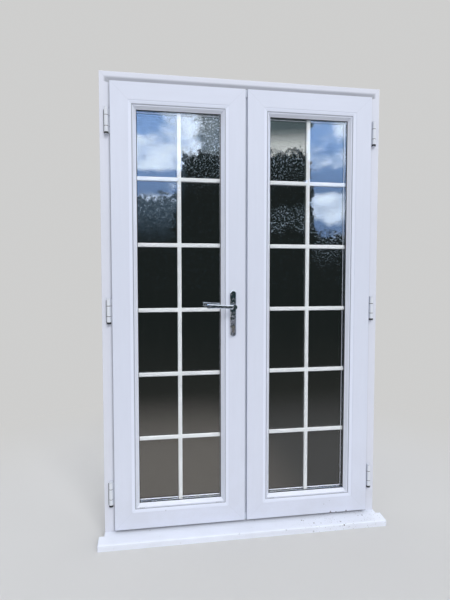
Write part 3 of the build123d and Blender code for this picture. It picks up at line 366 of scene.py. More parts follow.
@dataclass(frozen=True)
class WhiteProfile(Finish):
    """Extruded white plastic: faint die lines along each length, welded mitres, a little grime low down.

    Where asked, it has a painted shade line (its start, its start at the head and its end, in from the frame's
    edge), painted shade of the bead's groove at that distance from the edge with painted light on the moulding
    and bead beside it and painted shade along the lower edge, fine specks, and single spots of dirt.
    """

    colour: Colour = (0.672, 0.712, 0.830)
    grime: Colour = (0.36, 0.34, 0.30)
    welded: Optional[Frame2D] = None
    grain: Grain = Grain.ALONG_X
    grime_low: float = 0.03
    grime_high: float = 0.55
    seam_width: float = 0.0016
    marks: tuple[Mark, ...] = ()
    specks: float = 0.0
    shade_line: Optional[tuple[float, float, float]] = None
    painted_groove_shade: float = 0.0
    gloss: float = 0.30
    die_scale: float = 620.0
    sheen_scale: float = 60.0
    cloud_scale: float = 5.5
    dust_scale: float = 240.0
    skin_depth: float = 0.000035
    seam_depth: float = 0.00016

    def draw(self, canvas: Canvas) -> None:
        """Draw the finish.

        Args:
            canvas: Where it is drawn.
        """
        x, y, z = canvas.place
        if self.welded:
            across, along, mitre = self.welded.fields(canvas)
        else:
            across, along = (z, x) if self.grain is Grain.ALONG_X else (x, z)
            mitre = None
        die, wide = self.die_scale, self.sheen_scale
        lines = canvas.noise(canvas.vector(across * die, y * die, along * 3.0), 1.0, 2.0)
        sheen = canvas.noise(canvas.vector(across * wide, y * wide, along * 6.0))
        cloud = canvas.noise(canvas.point, self.cloud_scale, 4.0, 0.6)
        dust = canvas.noise(canvas.point, self.dust_scale, 3.0, 0.7)
        low = z.step(self.grime_high, self.grime_low)
        dirt = (cloud * 1.2 + dust * 0.5 - 0.62).step(0.0, 0.55) * (0.02 + 0.12 * low)
        tone = canvas.blend(self.colour, shaded(self.colour, 0.93), (sheen - 0.35) * 0.8)
        tone = canvas.blend(tone, self.grime, dirt)
        tone = self.details(canvas, tone, across, cloud, dust)
        rough = self.gloss + sheen.swing(0.10) + dirt * 0.5
        normal = canvas.bump(lines * 0.6 + dust * 0.25, self.skin_depth)
        if mitre is not None:
            seam = mitre.step(self.seam_width, self.seam_width * 0.35)
            tone = canvas.blend(tone, shaded(self.colour, 0.80), seam * 0.30)
            rough = rough + seam * 0.18
            normal = canvas.bump(1.0 - seam, self.seam_depth, normal)
        canvas.principled({"Base Color": tone, "Roughness": rough, "Normal": normal, "IOR": REFRACTION,
                           "Coat Roughness": 0.08, "Coat Weight": 0.12})

    def details(self, canvas: Canvas, tone: Socket, across: Wire, cloud: Wire, dust: Wire) -> Socket:
        """Draw the painted shade line, the groove's painted shade with painted light on the moulding, the
        painted shade along the lower edge, specks, blots and marks.

        Args:
            canvas: Where it is drawn.
            tone: The colour so far.
            across: The distance in from the frame's edge.
            cloud: Noise that the lines' strength follows.
            dust: Finer noise that makes spots ragged.

        Returns:
            The new colour.
        """
        x, y, z = canvas.place
        if self.shade_line:
            start, head_start, end = self.shade_line
            head = z.step(1.990, 1.998)
            line = (across + head * (start - head_start)).step(start, end)
            line = line * across.step(end + 0.0008, end + 0.0002) * y.step(0.002, 0.0005)
            tone = canvas.blend(tone, (0.19, 0.20, 0.23), line * (0.36 + 0.18 * cloud + head * 0.26))
        if self.painted_groove_shade:
            outside = y.step(0.012, 0.004)
            # painted shade: the sash's lowest few millimetres darkened, for the shade in the gap above the sill
            foot = z.step(self.welded.bottom + 0.0034, self.welded.bottom + 0.0012)
            tone = canvas.blend(tone, (0.13, 0.12, 0.11), foot * (0.35 + 0.5 * cloud))
            # painted shade: a dark line where the groove between the sash's moulding and the bead lies in shade
            shade_in_groove = abs(across - self.painted_groove_shade).step(0.0015, 0.0008) * outside
            tone = canvas.blend(tone, (0.10, 0.105, 0.12), shade_in_groove * (0.62 + 0.3 * cloud))
            # painted light: the moulding and bead are made lighter, against the shade that falls on their slope
            painted_moulding_light = across.step(self.painted_groove_shade - 0.0157, self.painted_groove_shade - 0.0137) * outside
            tone = canvas.blend(tone, shaded(self.colour, 1.08), painted_moulding_light * (1.0 - shade_in_groove))
        if self.specks:
            right = x.step(0.05, 0.50)
            spot, pick = canvas.cells(canvas.point, 170.0)
            speck = spot.step(0.36, 0.16) * pick.step(0.80 - 0.1 * self.specks, 0.86) * right
            spot, pick = canvas.cells(canvas.vector(x + dust.swing(0.006), y, z), 46.0)
            blot = spot.step(0.26, 0.12) * pick.step(0.84 - 0.1 * self.specks, 0.88)
            blot = blot * (0.25 + right * 0.75)
            tone = canvas.blend(tone, (0.10, 0.095, 0.08), speck.high(blot) * 0.70)
        for mark_x, mark_y, mark_z, radius in self.marks:
            ripple = (dust - 0.5) * radius * 1.8
            reach = ((x - mark_x) ** 2.0 + (y - mark_y) ** 2.0 + ((z - mark_z) * 0.7) ** 2.0) ** 0.5
            shape = (reach + ripple).step(radius, radius * 0.4)
            tone = canvas.blend(tone, (0.09, 0.07, 0.06), shape * 0.9)
        return tone


@dataclass(frozen=True)
class MouldedWhite(Finish):
    """Injection moulded white caps: fine spark texture, slightly duller than the profiles."""

    colour: Colour = (0.700, 0.745, 0.850)
    rough: float = 0.38
    depth: float = 0.00004

    def draw(self, canvas: Canvas) -> None:
        """Draw the finish.

        Args:
            canvas: Where it is drawn.
        """
        spark = canvas.noise(canvas.point, 1400.0, 2.0)
        cloud = canvas.noise(canvas.point, 30.0, 4.0)
        tone = canvas.blend(self.colour, shaded(self.colour, 0.88), (cloud - 0.3) * 0.7)
        canvas.principled({"Base Color": tone, "Roughness": self.rough + cloud.swing(0.12),
                           "Normal": canvas.bump(spark, self.depth)})


@dataclass(frozen=True)
class Rubber(Finish):
    """Extruded rubber seal with a matt skin and pale dust in its pores."""

    colour: Colour = (0.018, 0.019, 0.021)
    dust: Colour = (0.12, 0.12, 0.115)
    rough: float = 0.62
    depth: float = 0.00006

    def draw(self, canvas: Canvas) -> None:
        """Draw the finish.

        Args:
            canvas: Where it is drawn.
        """
        skin = canvas.noise(canvas.point, 900.0, 3.0, 0.7)
        film = canvas.noise(canvas.point, 22.0, 4.0, 0.6)
        tone = canvas.blend(self.colour, self.dust, (film - 0.42) * 0.9)
        canvas.principled({"Base Color": tone, "Roughness": self.rough + skin.swing(0.3),
                           "Normal": canvas.bump(skin, self.depth), "Specular IOR Level": 0.4})


@dataclass(frozen=True)
class ClearPane(Finish):
    """Float glass: clear, with a trace of dust low on the outer pane.

    Light that only casts shadows passes straight through, so the bars between the panes stay lit.
    """

    dust: float = 0.0
    wave_depth: float = 0.00035

    def draw(self, canvas: Canvas) -> None:
        """Draw the finish.

        Args:
            canvas: Where it is drawn.
        """
        x, y, z = canvas.place
        wave = canvas.noise(canvas.point, 2.2, 1.0)
        surface = canvas.node("ShaderNodeBsdfPrincipled", None, {
            "Base Color": WHITE, "Roughness": 0.0, "IOR": REFRACTION, "Transmission Weight": 1.0,
            "Normal": canvas.bump(wave, self.wave_depth)}).outputs[0]
        if self.dust:
            fine = canvas.noise(canvas.point, 700.0, 3.0, 0.7)
            runs = canvas.noise(canvas.vector(x * 45.0, y, z * 4.0), 1.0, 4.0, 0.6)
            foot = z.step(0.50, 0.14) * 0.6 + 0.4
            film = canvas.shader("ShaderNodeBsdfDiffuse", (0.62, 0.61, 0.57))
            share = (runs * 0.7 + fine * 0.6 - 0.55).step(0.0, 0.6) * foot * self.dust
            surface = canvas.mixed(share, surface, film)
        shadow = canvas.wire(canvas.node("ShaderNodeLightPath"), "Is Shadow Ray")
        surface = canvas.mixed(shadow, surface, canvas.shader("ShaderNodeBsdfTransparent", WHITE))
        canvas.output(surface)


@dataclass(frozen=True)
class PerforatedSpacer(Finish):
    """Roll formed aluminium spacer: bright, lined, with two rows of breather slits drawn dark as painted shade
    in the holes.
    """

    ring: Frame2D
    colour: Colour = (0.56, 0.60, 0.66)
    pitch: float = 0.0032
    middle: float = 0.021
    row_offset: float = 0.003
    rough: float = 0.30
    slit_depth: float = 0.0003

    def draw(self, canvas: Canvas) -> None:
        """Draw the finish.

        Args:
            canvas: Where it is drawn.
        """
        _, y, _ = canvas.place
        across, along, _ = self.ring.fields(canvas)
        lines = canvas.noise(canvas.vector(across * 1500.0, y * 1500.0, along * 6.0), 1.0, 2.0)
        length = (along * (2.0 * math.pi / self.pitch)).sine().step(0.2, 0.6)
        slit = length * abs(abs(y - self.middle) - self.row_offset).step(0.0009, 0.0005)
        # painted shade: the slits are drawn dark, for the shade inside the holes
        tone = canvas.blend(self.colour, (0.10, 0.10, 0.11), slit)
        normal = canvas.bump(lines, 0.00002, canvas.bump(1.0 - slit, self.slit_depth))
        canvas.principled({"Base Color": tone, "Roughness": self.rough + lines.swing(0.15),
                           "Metallic": 1.0 - slit * 0.6, "Normal": normal})


@dataclass(frozen=True)
class PowderCoat(Finish):
    """White powder coat: fine orange peel, and small chips of bare metal where it is asked for."""

    colour: Colour = (0.70, 0.735, 0.80)
    chips: float = 0.0
    peel: float = 520.0
    rough: float = 0.36
    depth: float = 0.00007

    def draw(self, canvas: Canvas) -> None:
        """Draw the finish.

        Args:
            canvas: Where it is drawn.
        """
        point = canvas.point
        peel = canvas.noise(point, self.peel, 1.0)
        cloud = canvas.noise(point, 18.0, 4.0, 0.6)
        tone = canvas.blend(self.colour, shaded(self.colour, 0.90), (cloud - 0.35) * 0.8)
        inputs: Inputs = {"Roughness": self.rough + cloud.swing(0.14)}
        height: Wire = peel * 0.5
        if self.chips:
            chip = canvas.noise(point, 380.0, 3.0, 0.75).step(0.72 - 0.05 * self.chips, 0.75)
            tone = canvas.blend(tone, (0.20, 0.20, 0.20), chip)
            inputs["Metallic"] = chip * 0.8
            height = height - chip * 0.5
        canvas.principled({"Base Color": tone, "Normal": canvas.bump(height, self.depth), **inputs})


@dataclass(frozen=True)
class Plated(Finish):
    """Polished or satin plated metal with handling smears, fine scratches and, where asked, a ripple."""

    colour: Colour
    rough: float = 0.07
    smear: float = 0.16
    ripple: float = 0.0
    scratch_depth: float = 0.00001

    def draw(self, canvas: Canvas) -> None:
        """Draw the finish.

        Args:
            canvas: Where it is drawn.
        """
        x, y, z = canvas.place
        smear = canvas.noise(canvas.point, 46.0, 4.0, 0.62)
        hair = canvas.noise(canvas.vector(x * 900.0, y * 500.0, z * 60.0), 1.0, 2.0)
        cross = canvas.noise(canvas.vector(x * 70.0, y * 400.0, z * 1100.0), 1.0, 2.0)
        line = hair.high(cross).step(0.66, 0.74)
        tone = canvas.blend(self.colour, shaded(self.colour, 0.78), (smear - 0.4) * 0.9)
        rough = self.rough + smear.step(0.45, 0.75) * self.smear + line * 0.08
        normal = canvas.bump(1.0 - line, self.scratch_depth)
        if self.ripple:
            swell = canvas.noise(canvas.vector(x, y, z * 0.6), 85.0, 2.0, 0.5)
            normal = canvas.bump(swell, self.ripple, normal)
        canvas.principled({"Base Color": tone, "Roughness": rough, "Metallic": 1.0, "Normal": normal})


@dataclass(frozen=True)
class DrawnMetal(Finish):
    """Drawn or extruded metal: lines along its length, dull patches and fine scuffs."""

    colour: Colour
    grain: Grain = Grain.ALONG_Z
    rough: float = 0.34
    depth: float = 0.00003
    tarnish: Colour = (0.30, 0.29, 0.27)

    def draw(self, canvas: Canvas) -> None:
        """Draw the finish.

        Args:
            canvas: Where it is drawn.
        """
        x, y, z = canvas.place
        lines = (canvas.vector(x * 5.0, y * 1300.0, z * 1300.0) if self.grain is Grain.ALONG_X
                 else canvas.vector(x * 1300.0, y * 1300.0, z * 5.0))
        line = canvas.noise(lines, 1.0, 3.0, 0.65)
        cloud = canvas.noise(canvas.point, 26.0, 5.0, 0.65)
        scuff = canvas.noise(canvas.vector(x * 60.0, y * 700.0, z * 90.0), 1.0, 3.0, 0.7).step(0.60, 0.72)
        tone = canvas.blend(self.colour, shaded(self.colour, 0.80), line * 0.6)
        tone = canvas.blend(tone, self.tarnish, cloud.step(0.45, 0.85) * 0.45)
        rough = self.rough + line.swing(0.18) + cloud.step(0.45, 0.8) * 0.16 + scuff * 0.08
        canvas.principled({"Base Color": tone, "Roughness": rough, "Metallic": 1.0,
                           "Normal": canvas.bump(line * 0.7 + scuff * 0.3, self.depth)})


@dataclass(frozen=True)
class Galvanised(Finish):
    """Zinc spangle on rolled steel."""

    light: Colour = (0.60, 0.63, 0.66)
    dark: Colour = (0.36, 0.38, 0.40)
    rough: float = 0.34
    depth: float = 0.00003

    def draw(self, canvas: Canvas) -> None:
        """Draw the finish.

        Args:
            canvas: Where it is drawn.
        """
        point = canvas.point
        edge, spangle = canvas.cells(point, 130.0)
        frost = canvas.noise(point, 900.0, 3.0, 0.7)
        tone = canvas.blend(self.dark, self.light, spangle * 0.8 + frost * 0.2)
        canvas.principled({"Base Color": tone, "Roughness": self.rough + spangle * 0.22 + frost.swing(0.1),
                           "Metallic": 1.0, "Normal": canvas.bump(frost * 0.4 + edge * 0.3, self.depth)})


@dataclass(frozen=True)
class RibbedPacker(Finish):
    """Moulded plastic packer with low ribs across it, darker between the ribs as painted shade."""

    colour: Colour = (0.12, 0.22, 0.42)
    pitch: float = 0.006
    rough: float = 0.42
    depth: float = 0.0003

    def draw(self, canvas: Canvas) -> None:
        """Draw the finish.

        Args:
            canvas: Where it is drawn.
        """
        x, _, z = canvas.place
        rib = ((x + z) * (2.0 * math.pi / self.pitch)).sine().step(-0.3, 0.3)
        grain = canvas.noise(canvas.point, 800.0, 2.0)
        # painted shade: the colour is darker between the ribs
        tone = canvas.blend(self.colour, shaded(self.colour, 0.6), 1.0 - rib)
        canvas.principled({"Base Color": tone, "Roughness": self.rough + grain.swing(0.2),
                           "Normal": canvas.bump(rib + grain * 0.1, self.depth)})


def new_object(name: str, data: bpy.types.ID) -> bpy.types.Object:
    """Show a mesh, a lamp or a camera in the scene.

    Args:
        name: The object's name.
        data: What it shows.

    Returns:
        The new object.
    """
    piece = bpy.data.objects.new(name, data)
    bpy.context.scene.collection.objects.link(piece)
    return piece


def dress(finish: Finish, *names: str) -> None:
    """Give CAD nodes a finish.

    Args:
        finish: The finish that they share.
        names: The nodes.
    """
    material = finish.material()
    for name in names:
        NODES[name].data.materials.clear()
        NODES[name].data.materials.append(material)
        log.info("%s: %s", name, finish.name)


def soften(piece: bpy.types.Object, width: float) -> None:
    """Round a piece's sharp edges with a modifier.

    Args:
        piece: The piece.
        width: How far each edge is cut back.
    """
    bevel = piece.modifiers.new("soft_edges", "BEVEL")
    bevel.width = width
    bevel.segments = BEVEL_SEGMENTS
    bevel.limit_method = "ANGLE"
    bevel.angle_limit = BEVEL_ABOVE
    bevel.harden_normals = True


def bridge(mesh: Mesh, first: Loop, second: Loop) -> None:
    """Join two closed loops with as many points by four-sided faces.

    Args:
        mesh: The mesh that holds the loops.
        first: One loop.
        second: The other.
    """
    for i in range(len(first)):
        j = (i + 1) % len(first)
        mesh.faces.new((first[i], first[j], second[j], second[i]))


def turned(mesh: Mesh, centre: Point, section: Outline, sides: int) -> None:
    """Add a ring: a closed section turned about an upright axis.

    Args:
        mesh: The mesh that collects the rings.
        centre: The point of the axis that the section's heights start from.
        section: The section's points, each a radius and a height.
        sides: Flats round the ring.
    """
    x, y, z = centre
    angles = [2 * math.pi * i / sides for i in range(sides)]
    rings = [[mesh.verts.new((x + radius * math.cos(a), y + radius * math.sin(a), z + height)) for a in angles]
             for radius, height in section]
    for lower, upper in zip(rings, rings[1:] + rings[:1]):
        bridge(mesh, lower, upper)


@dataclass
class Screw:
    """A countersunk screw head with a crossed recess, modelled about its own axis."""

    radius: float = 0.0037
    recess: float = 0.0021
    slot: float = 0.0006
    depth: float = 0.0012
    stand: float = 0.0002
    sink: float = 0.0016
    taper: float = 0.6
    sides: int = 28

    def add_to(self, mesh: Mesh, place: Matrix) -> None:
        """Add one head to a mesh.

        Args:
            mesh: The mesh that collects the heads.
            place: The head's place, its own Z pointing out of the plate.
        """
        def ring(radius: float, height: float) -> Loop:
            """A circle of points about the axis."""
            return [mesh.verts.new(place @ Vector((radius * math.cos(a), radius * math.sin(a), height)))
                    for a in (2 * math.pi * i / self.sides for i in range(self.sides))]

        rings = [ring(self.radius * share, height) for share, height in
                 ((0.45, -self.sink), (1.0, -0.00002), (0.985, self.stand * 0.6), (0.90, self.stand))]
        for lower, upper in zip(rings, rings[1:]):
            bridge(mesh, lower, upper)
        mesh.faces.new(list(reversed(rings[0])))
        a, b = self.slot, self.recess
        cross = ((b, -a), (b, a), (a, a), (a, b), (-a, b), (-a, a), (-b, a), (-b, -a), (-a, -a), (-a, -b),
                 (a, -b), (a, -a))
        mouth, floor = ([mesh.verts.new(place @ Vector((x * share, y * share, height))) for x, y in cross]
                        for share, height in ((1.0, self.stand), (self.taper, self.stand - self.depth)))
        edges = [mesh.edges.new(ends) for ends in zip(mouth, mouth[1:] + mouth[:1])]
        edges += [mesh.edges.get(ends) for ends in zip(rings[-1], rings[-1][1:] + rings[-1][:1])]
        bmesh.ops.triangle_fill(mesh, use_beauty=True, edges=edges)
        bridge(mesh, mouth, floor)
        mesh.faces.new(floor)


def finish_mesh(name: str, mesh: Mesh, finish: Finish, body: str) -> None:
    """Turn a built mesh into a piece that rides on a body.

    Args:
        name: The piece's name.
        mesh: The built mesh.
        finish: Its finish.
        body: The body that carries it.
    """
    bmesh.ops.recalc_face_normals(mesh, faces=mesh.faces)
    data = bpy.data.meshes.new(name)
    mesh.to_mesh(data)
    mesh.free()
    data.shade_smooth()
    data.set_sharp_from_angle(angle=SMOOTH_BELOW)
    data.materials.append(finish.material())
    piece = new_object(name, data)
    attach(piece, body)
    log.info("%s on %s", name, body)


def facing(place: Vector, out: Vector) -> Matrix:
    """The matrix that stands a head at a place, its Z pointing out of the plate."""
    return Matrix.Translation(place) @ out.to_track_quat("Z", "Y").to_matrix().to_4x4()


@dataclass
class OuterFrame:
    """Head and jambs with their steel, the threshold, the rebate seal and the keeps."""

    ring: Frame2D = Frame2D(-0.635, 0.635, 0.030, 2.040, open_foot=True)
    screw_spread: float = 0.015
    screw_sink: float = 0.0003

    def build(self) -> None:
        """Dress the frame's nodes."""
        dress(WhiteProfile("frame_profile", welded=self.ring, colour=(0.690, 0.715, 0.805), gloss=0.34,
                           shade_line=(0.031, 0.016, 0.0445)), "outer_frame")
        dress(Galvanised("frame_steel"), "frame_reinforcement")
        dress(DrawnMetal("threshold_extrusion", (0.56, 0.57, 0.59), Grain.ALONG_X, 0.38), "threshold")
        dress(Rubber("rebate_rubber"), "frame_seal")
        self.screws()

    def screws(self) -> None:
        """Two screws in each shootbolt keep."""
        for name, out in (("head_keep", Vector((0, 0, -1))), ("threshold_keep", Vector((0, 0, 1)))):
            low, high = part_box(name)
            middle = (low + high) / 2
            face = low.z if out.z < 0 else high.z
            mesh = bmesh.new()
            for offset in (-self.screw_spread, self.screw_spread):
                place = Vector((middle.x + offset, middle.y, face - out.z * self.screw_sink))
                Screw(radius=0.0031, recess=0.0018).add_to(mesh, facing(place, out))
            finish_mesh(f"{name}_screws", mesh, DrawnMetal(f"{name}_screw_zinc", (0.60, 0.60, 0.60)),
                        "frame")


@dataclass
class Sill:
    """The projecting sill and its two end caps."""

    def build(self) -> None:
        """Dress the sill."""
        # painted light: the sill's white is the profile white made lighter, for its top that faces the sky
        dress(WhiteProfile("sill_profile_painted_light", colour=(0.780, 0.825, 0.930), grime_low=0.0, grime_high=0.06,
                           specks=0.6, gloss=0.32, marks=SILL_MARKS), "sill")
        dress(MouldedWhite("sill_cap_moulding"), "sill_end_caps")


@dataclass
class Leaf:
    """One glazed leaf: sash, beads, sealed unit with its bars, gaskets and packers."""

    side: Side
    left: float
    right: float
    bottom: float = 0.045
    top: float = 1.995
    marks: tuple[Mark, ...] = ()

    @property
    def ring(self) -> Frame2D:
        """The leaf's welded rectangle."""
        return Frame2D(self.left, self.right, self.bottom, self.top)

    def build(self) -> None:
        """Dress the leaf's nodes."""
        leaf = self.side.name.lower()
        # painted shade of the bead's groove, 90.2 mm in from the leaf's edge, with painted light on the
        # moulding
        dress(WhiteProfile(f"{leaf}_sash_profile", welded=self.ring, marks=self.marks, painted_groove_shade=0.0902),
              f"{leaf}_sash")
        # painted light: the beads take the sash's white made lighter, for their brightly lit band
        dress(WhiteProfile(f"{leaf}_bead_profile", welded=self.ring, colour=(0.750, 0.790, 0.900), gloss=0.24,
                           seam_width=0.0006), f"{leaf}_glazing_beads")
        dress(Galvanised(f"{leaf}_steel"), f"{leaf}_reinforcement")
        dress(ClearPane(f"{leaf}_outer_glass", dust=0.012), f"{leaf}_outer_pane")
        dress(ClearPane(f"{leaf}_inner_glass"), f"{leaf}_inner_pane")
        dress(PerforatedSpacer(f"{leaf}_spacer_bar", self.ring), f"{leaf}_spacer")
        dress(PowderCoat(f"{leaf}_bar_paint", colour=(0.70, 0.735, 0.775)), f"{leaf}_georgian_bars")
        dress(Rubber(f"{leaf}_gasket_rubber"), f"{leaf}_gaskets")
        dress(RibbedPacker(f"{leaf}_packer_plastic"), f"{leaf}_glazing_packers")


@dataclass
class Hinges:
    """Three hinges on one side: knuckled leaves, capped pins, black bushes and feet, fixing screws."""

    side: Side
    heights: tuple[float, ...] = (0.2095, 1.020, 1.8305)
    pin_x: float = 0.6055
    pin_y: float = -0.0095
    half: float = 0.052
    knuckle: float = 0.043
    gap: float = 0.0025
    foot_drop: float = 0.0043
    bush_sides: int = 40
    foot_sides: int = 48
    frame_face: float = 0.5793
    sash_face: float = 0.5727
    screw_places: Outline = ((0.012, -0.034), (0.030, 0.0), (0.012, 0.034))
    bush_section: Outline = ((0.0043, -0.00115), (0.0080, -0.00115), (0.0083, -0.0008), (0.0083, 0.0008),
                             (0.0080, 0.00115), (0.0043, 0.00115))
    foot_section: Outline = ((0.0089, 0.0), (0.0093, 0.0005), (0.0093, 0.0083), (0.0089, 0.0088),
                             (0.0086, 0.0088), (0.0086, 0.0))
    strip_outline: Outline = ((0.0096, 0.0), (0.0121, 0.0), (0.0118, -0.0022), (0.0106, -0.0042),
                              (0.0094, -0.0030))
    strip_ends: tuple[float, float] = (-0.96, 0.90)

    @property
    def hand(self) -> str:
        """The side's name, seen from outside."""
        return "left" if self.side is Side.ACTIVE else "right"

    def build(self) -> None:
        """Dress the hinges and add their small pieces."""
        dress(PowderCoat(f"{self.hand}_hinge_coat", chips=1.0), f"{self.hand}_hinge_frame_leaves",
              f"{self.side.name.lower()}_hinge_sash_leaves")
        dress(PowderCoat(f"{self.hand}_pin_cap_coat", colour=(0.66, 0.70, 0.77)), f"{self.hand}_hinge_pins")
        self.bushes()
        self.feet()
        self.screws()

    def bushes(self) -> None:
        """Black bushes that part the knuckles."""
        mesh = bmesh.new()
        for height in self.heights:
            for end in (-1, 1):
                middle = height + end * (self.knuckle + self.gap) / 2
                axis = (self.side.value * self.pin_x, self.pin_y, middle)
                turned(mesh, axis, self.bush_section, self.bush_sides)
        finish_mesh(f"{self.hand}_hinge_bushes", mesh, Rubber(f"{self.hand}_bush_nylon", (0.03, 0.03, 0.032)),
                    "frame")

    def feet(self) -> None:
        """Black sleeves round the pins' lower ends, and a thin black strip beside each knuckle on the frame:
        dark parts that also stand in for the shade under and beside the knuckles.
        """
        mesh = bmesh.new()
        side = self.side.value
        for height in self.heights:
            foot = height - self.half - self.foot_drop
            turned(mesh, (side * self.pin_x, self.pin_y, foot), self.foot_section, self.foot_sides)
            # painted shade: the thin black strip stands for the shade in the gap beside the knuckle
            low, high = ([mesh.verts.new((side * (self.pin_x + u), v, height + end * self.half))
                          for u, v in self.strip_outline] for end in self.strip_ends)
            bridge(mesh, low, high)
            mesh.faces.new(low)
            mesh.faces.new(list(reversed(high)))
        finish_mesh(f"{self.hand}_hinge_feet", mesh, Rubber(f"{self.hand}_foot_nylon", (0.022, 0.026, 0.03)),
                    "frame")

    def screws(self) -> None:
        """Three screws in each plate."""
        side = self.side.value
        zinc = DrawnMetal(f"{self.hand}_hinge_screw_zinc", (0.62, 0.62, 0.61))
        for plate, face, out, body in (("frame", self.frame_face, -side, "frame"),
                                       ("sash", self.sash_face, side, f"{self.side.name.lower()}_leaf")):
            mesh = bmesh.new()
            for height in self.heights:
                for depth, rise in self.screw_places:
                    place = Vector((side * face, depth, height + rise))
                    Screw().add_to(mesh, facing(place, Vector((out, 0, 0))))
            finish_mesh(f"{self.hand}_{plate}_leaf_screws", mesh, zinc, body)


@dataclass
class Lock:
    """Handles, cylinder and the multipoint lock in the active leaf's edge."""

    faceplate_rows: int = 9
    faceplate_end: float = 0.012
    screw_clearance: float = 0.006
    screw_shift: float = 0.010
    bolt_slot: float = 0.009
    plate_edge: float = 0.0010
    lever_edge: float = 0.0022

    def build(self) -> None:
        """Dress the lock's nodes."""
        dress(Plated("polished_chrome", (0.60, 0.64, 0.69), 0.03, 0.05, ripple=0.0016), "outside_handle_plate",
              "lever_outside", "handle_screws")
        # painted shade: the inside plate and lever are a darker copy of the chrome, for the unlit room that
        # they face
        dress(Plated("inner_chrome_painted_shade", (0.34, 0.38, 0.42), 0.06, ripple=0.0012), "inside_handle_plate",
              "lever_inside")
        for face in ("outside", "inside"):
            soften(NODES[f"{face}_handle_plate"], self.plate_edge)
            soften(NODES[f"lever_{face}"], self.lever_edge)
        dress(Plated("satin_nickel", (0.56, 0.54, 0.49), 0.22, 0.14), "cylinder_body", "cylinder_plugs")
        dress(DrawnMetal("zinc_plate", (0.60, 0.60, 0.61), Grain.ALONG_Z, 0.32), "lock_faceplate", "drive_rail",
              "lock_cases", "lock_follower", "spindle", "bolt_keeps", "shootbolt_top", "shootbolt_bottom")
        dress(DrawnMetal("zinc_keep", (0.60, 0.60, 0.61), Grain.ALONG_X, 0.32), "head_keep", "threshold_keep")
        dress(DrawnMetal("bolt_steel", (0.66, 0.66, 0.66), Grain.ALONG_X, 0.24), "throw_bolts", "latch_bolt",
              "deadbolt")
        self.screws()

    def screws(self) -> None:
        """Screws down the faceplate, clear of the bolts' slots."""
        low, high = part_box("lock_faceplate")
        spans = [(foot.z, top.z) for foot, top in map(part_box, ("latch_bolt", "deadbolt"))]
        foot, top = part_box("throw_bolts")
        spans += [(foot.z, foot.z + self.bolt_slot), (top.z - self.bolt_slot, top.z)]
        mesh = bmesh.new()
        pitch = (high.z - low.z - 2 * self.faceplate_end) / (self.faceplate_rows - 1)
        for row in range(self.faceplate_rows):
            z = low.z + self.faceplate_end + row * pitch
            for start, end in spans:
                if start - self.screw_clearance < z < end + self.screw_clearance:
                    z = end + self.screw_shift
            place = Vector((high.x, (low.y + high.y) / 2, z))
            Screw(radius=0.0034, recess=0.002).add_to(mesh, facing(place, Vector((1, 0, 0))))
        finish_mesh("faceplate_screws", mesh, DrawnMetal("faceplate_screw_zinc", (0.62, 0.62, 0.60)),
                    "active_leaf")


@dataclass
class MeetingMullion:
    """The floating mullion on the passive leaf with its caps and seal."""

    def build(self) -> None:
        """Dress the mullion."""
        # painted shade: the mullion and its caps take the white made darker, for the shade in the gap between
        # the leaves
        dress(WhiteProfile("mullion_profile_painted_shade", grain=Grain.ALONG_Z, colour=(0.60, 0.645, 0.72)), "mullion")
        dress(MouldedWhite("mullion_cap_painted_shade", (0.60, 0.645, 0.72)), "mullion_end_caps")
        dress(Rubber("meeting_seal", (0.16, 0.17, 0.18), (0.30, 0.30, 0.30)), "mullion_seal")


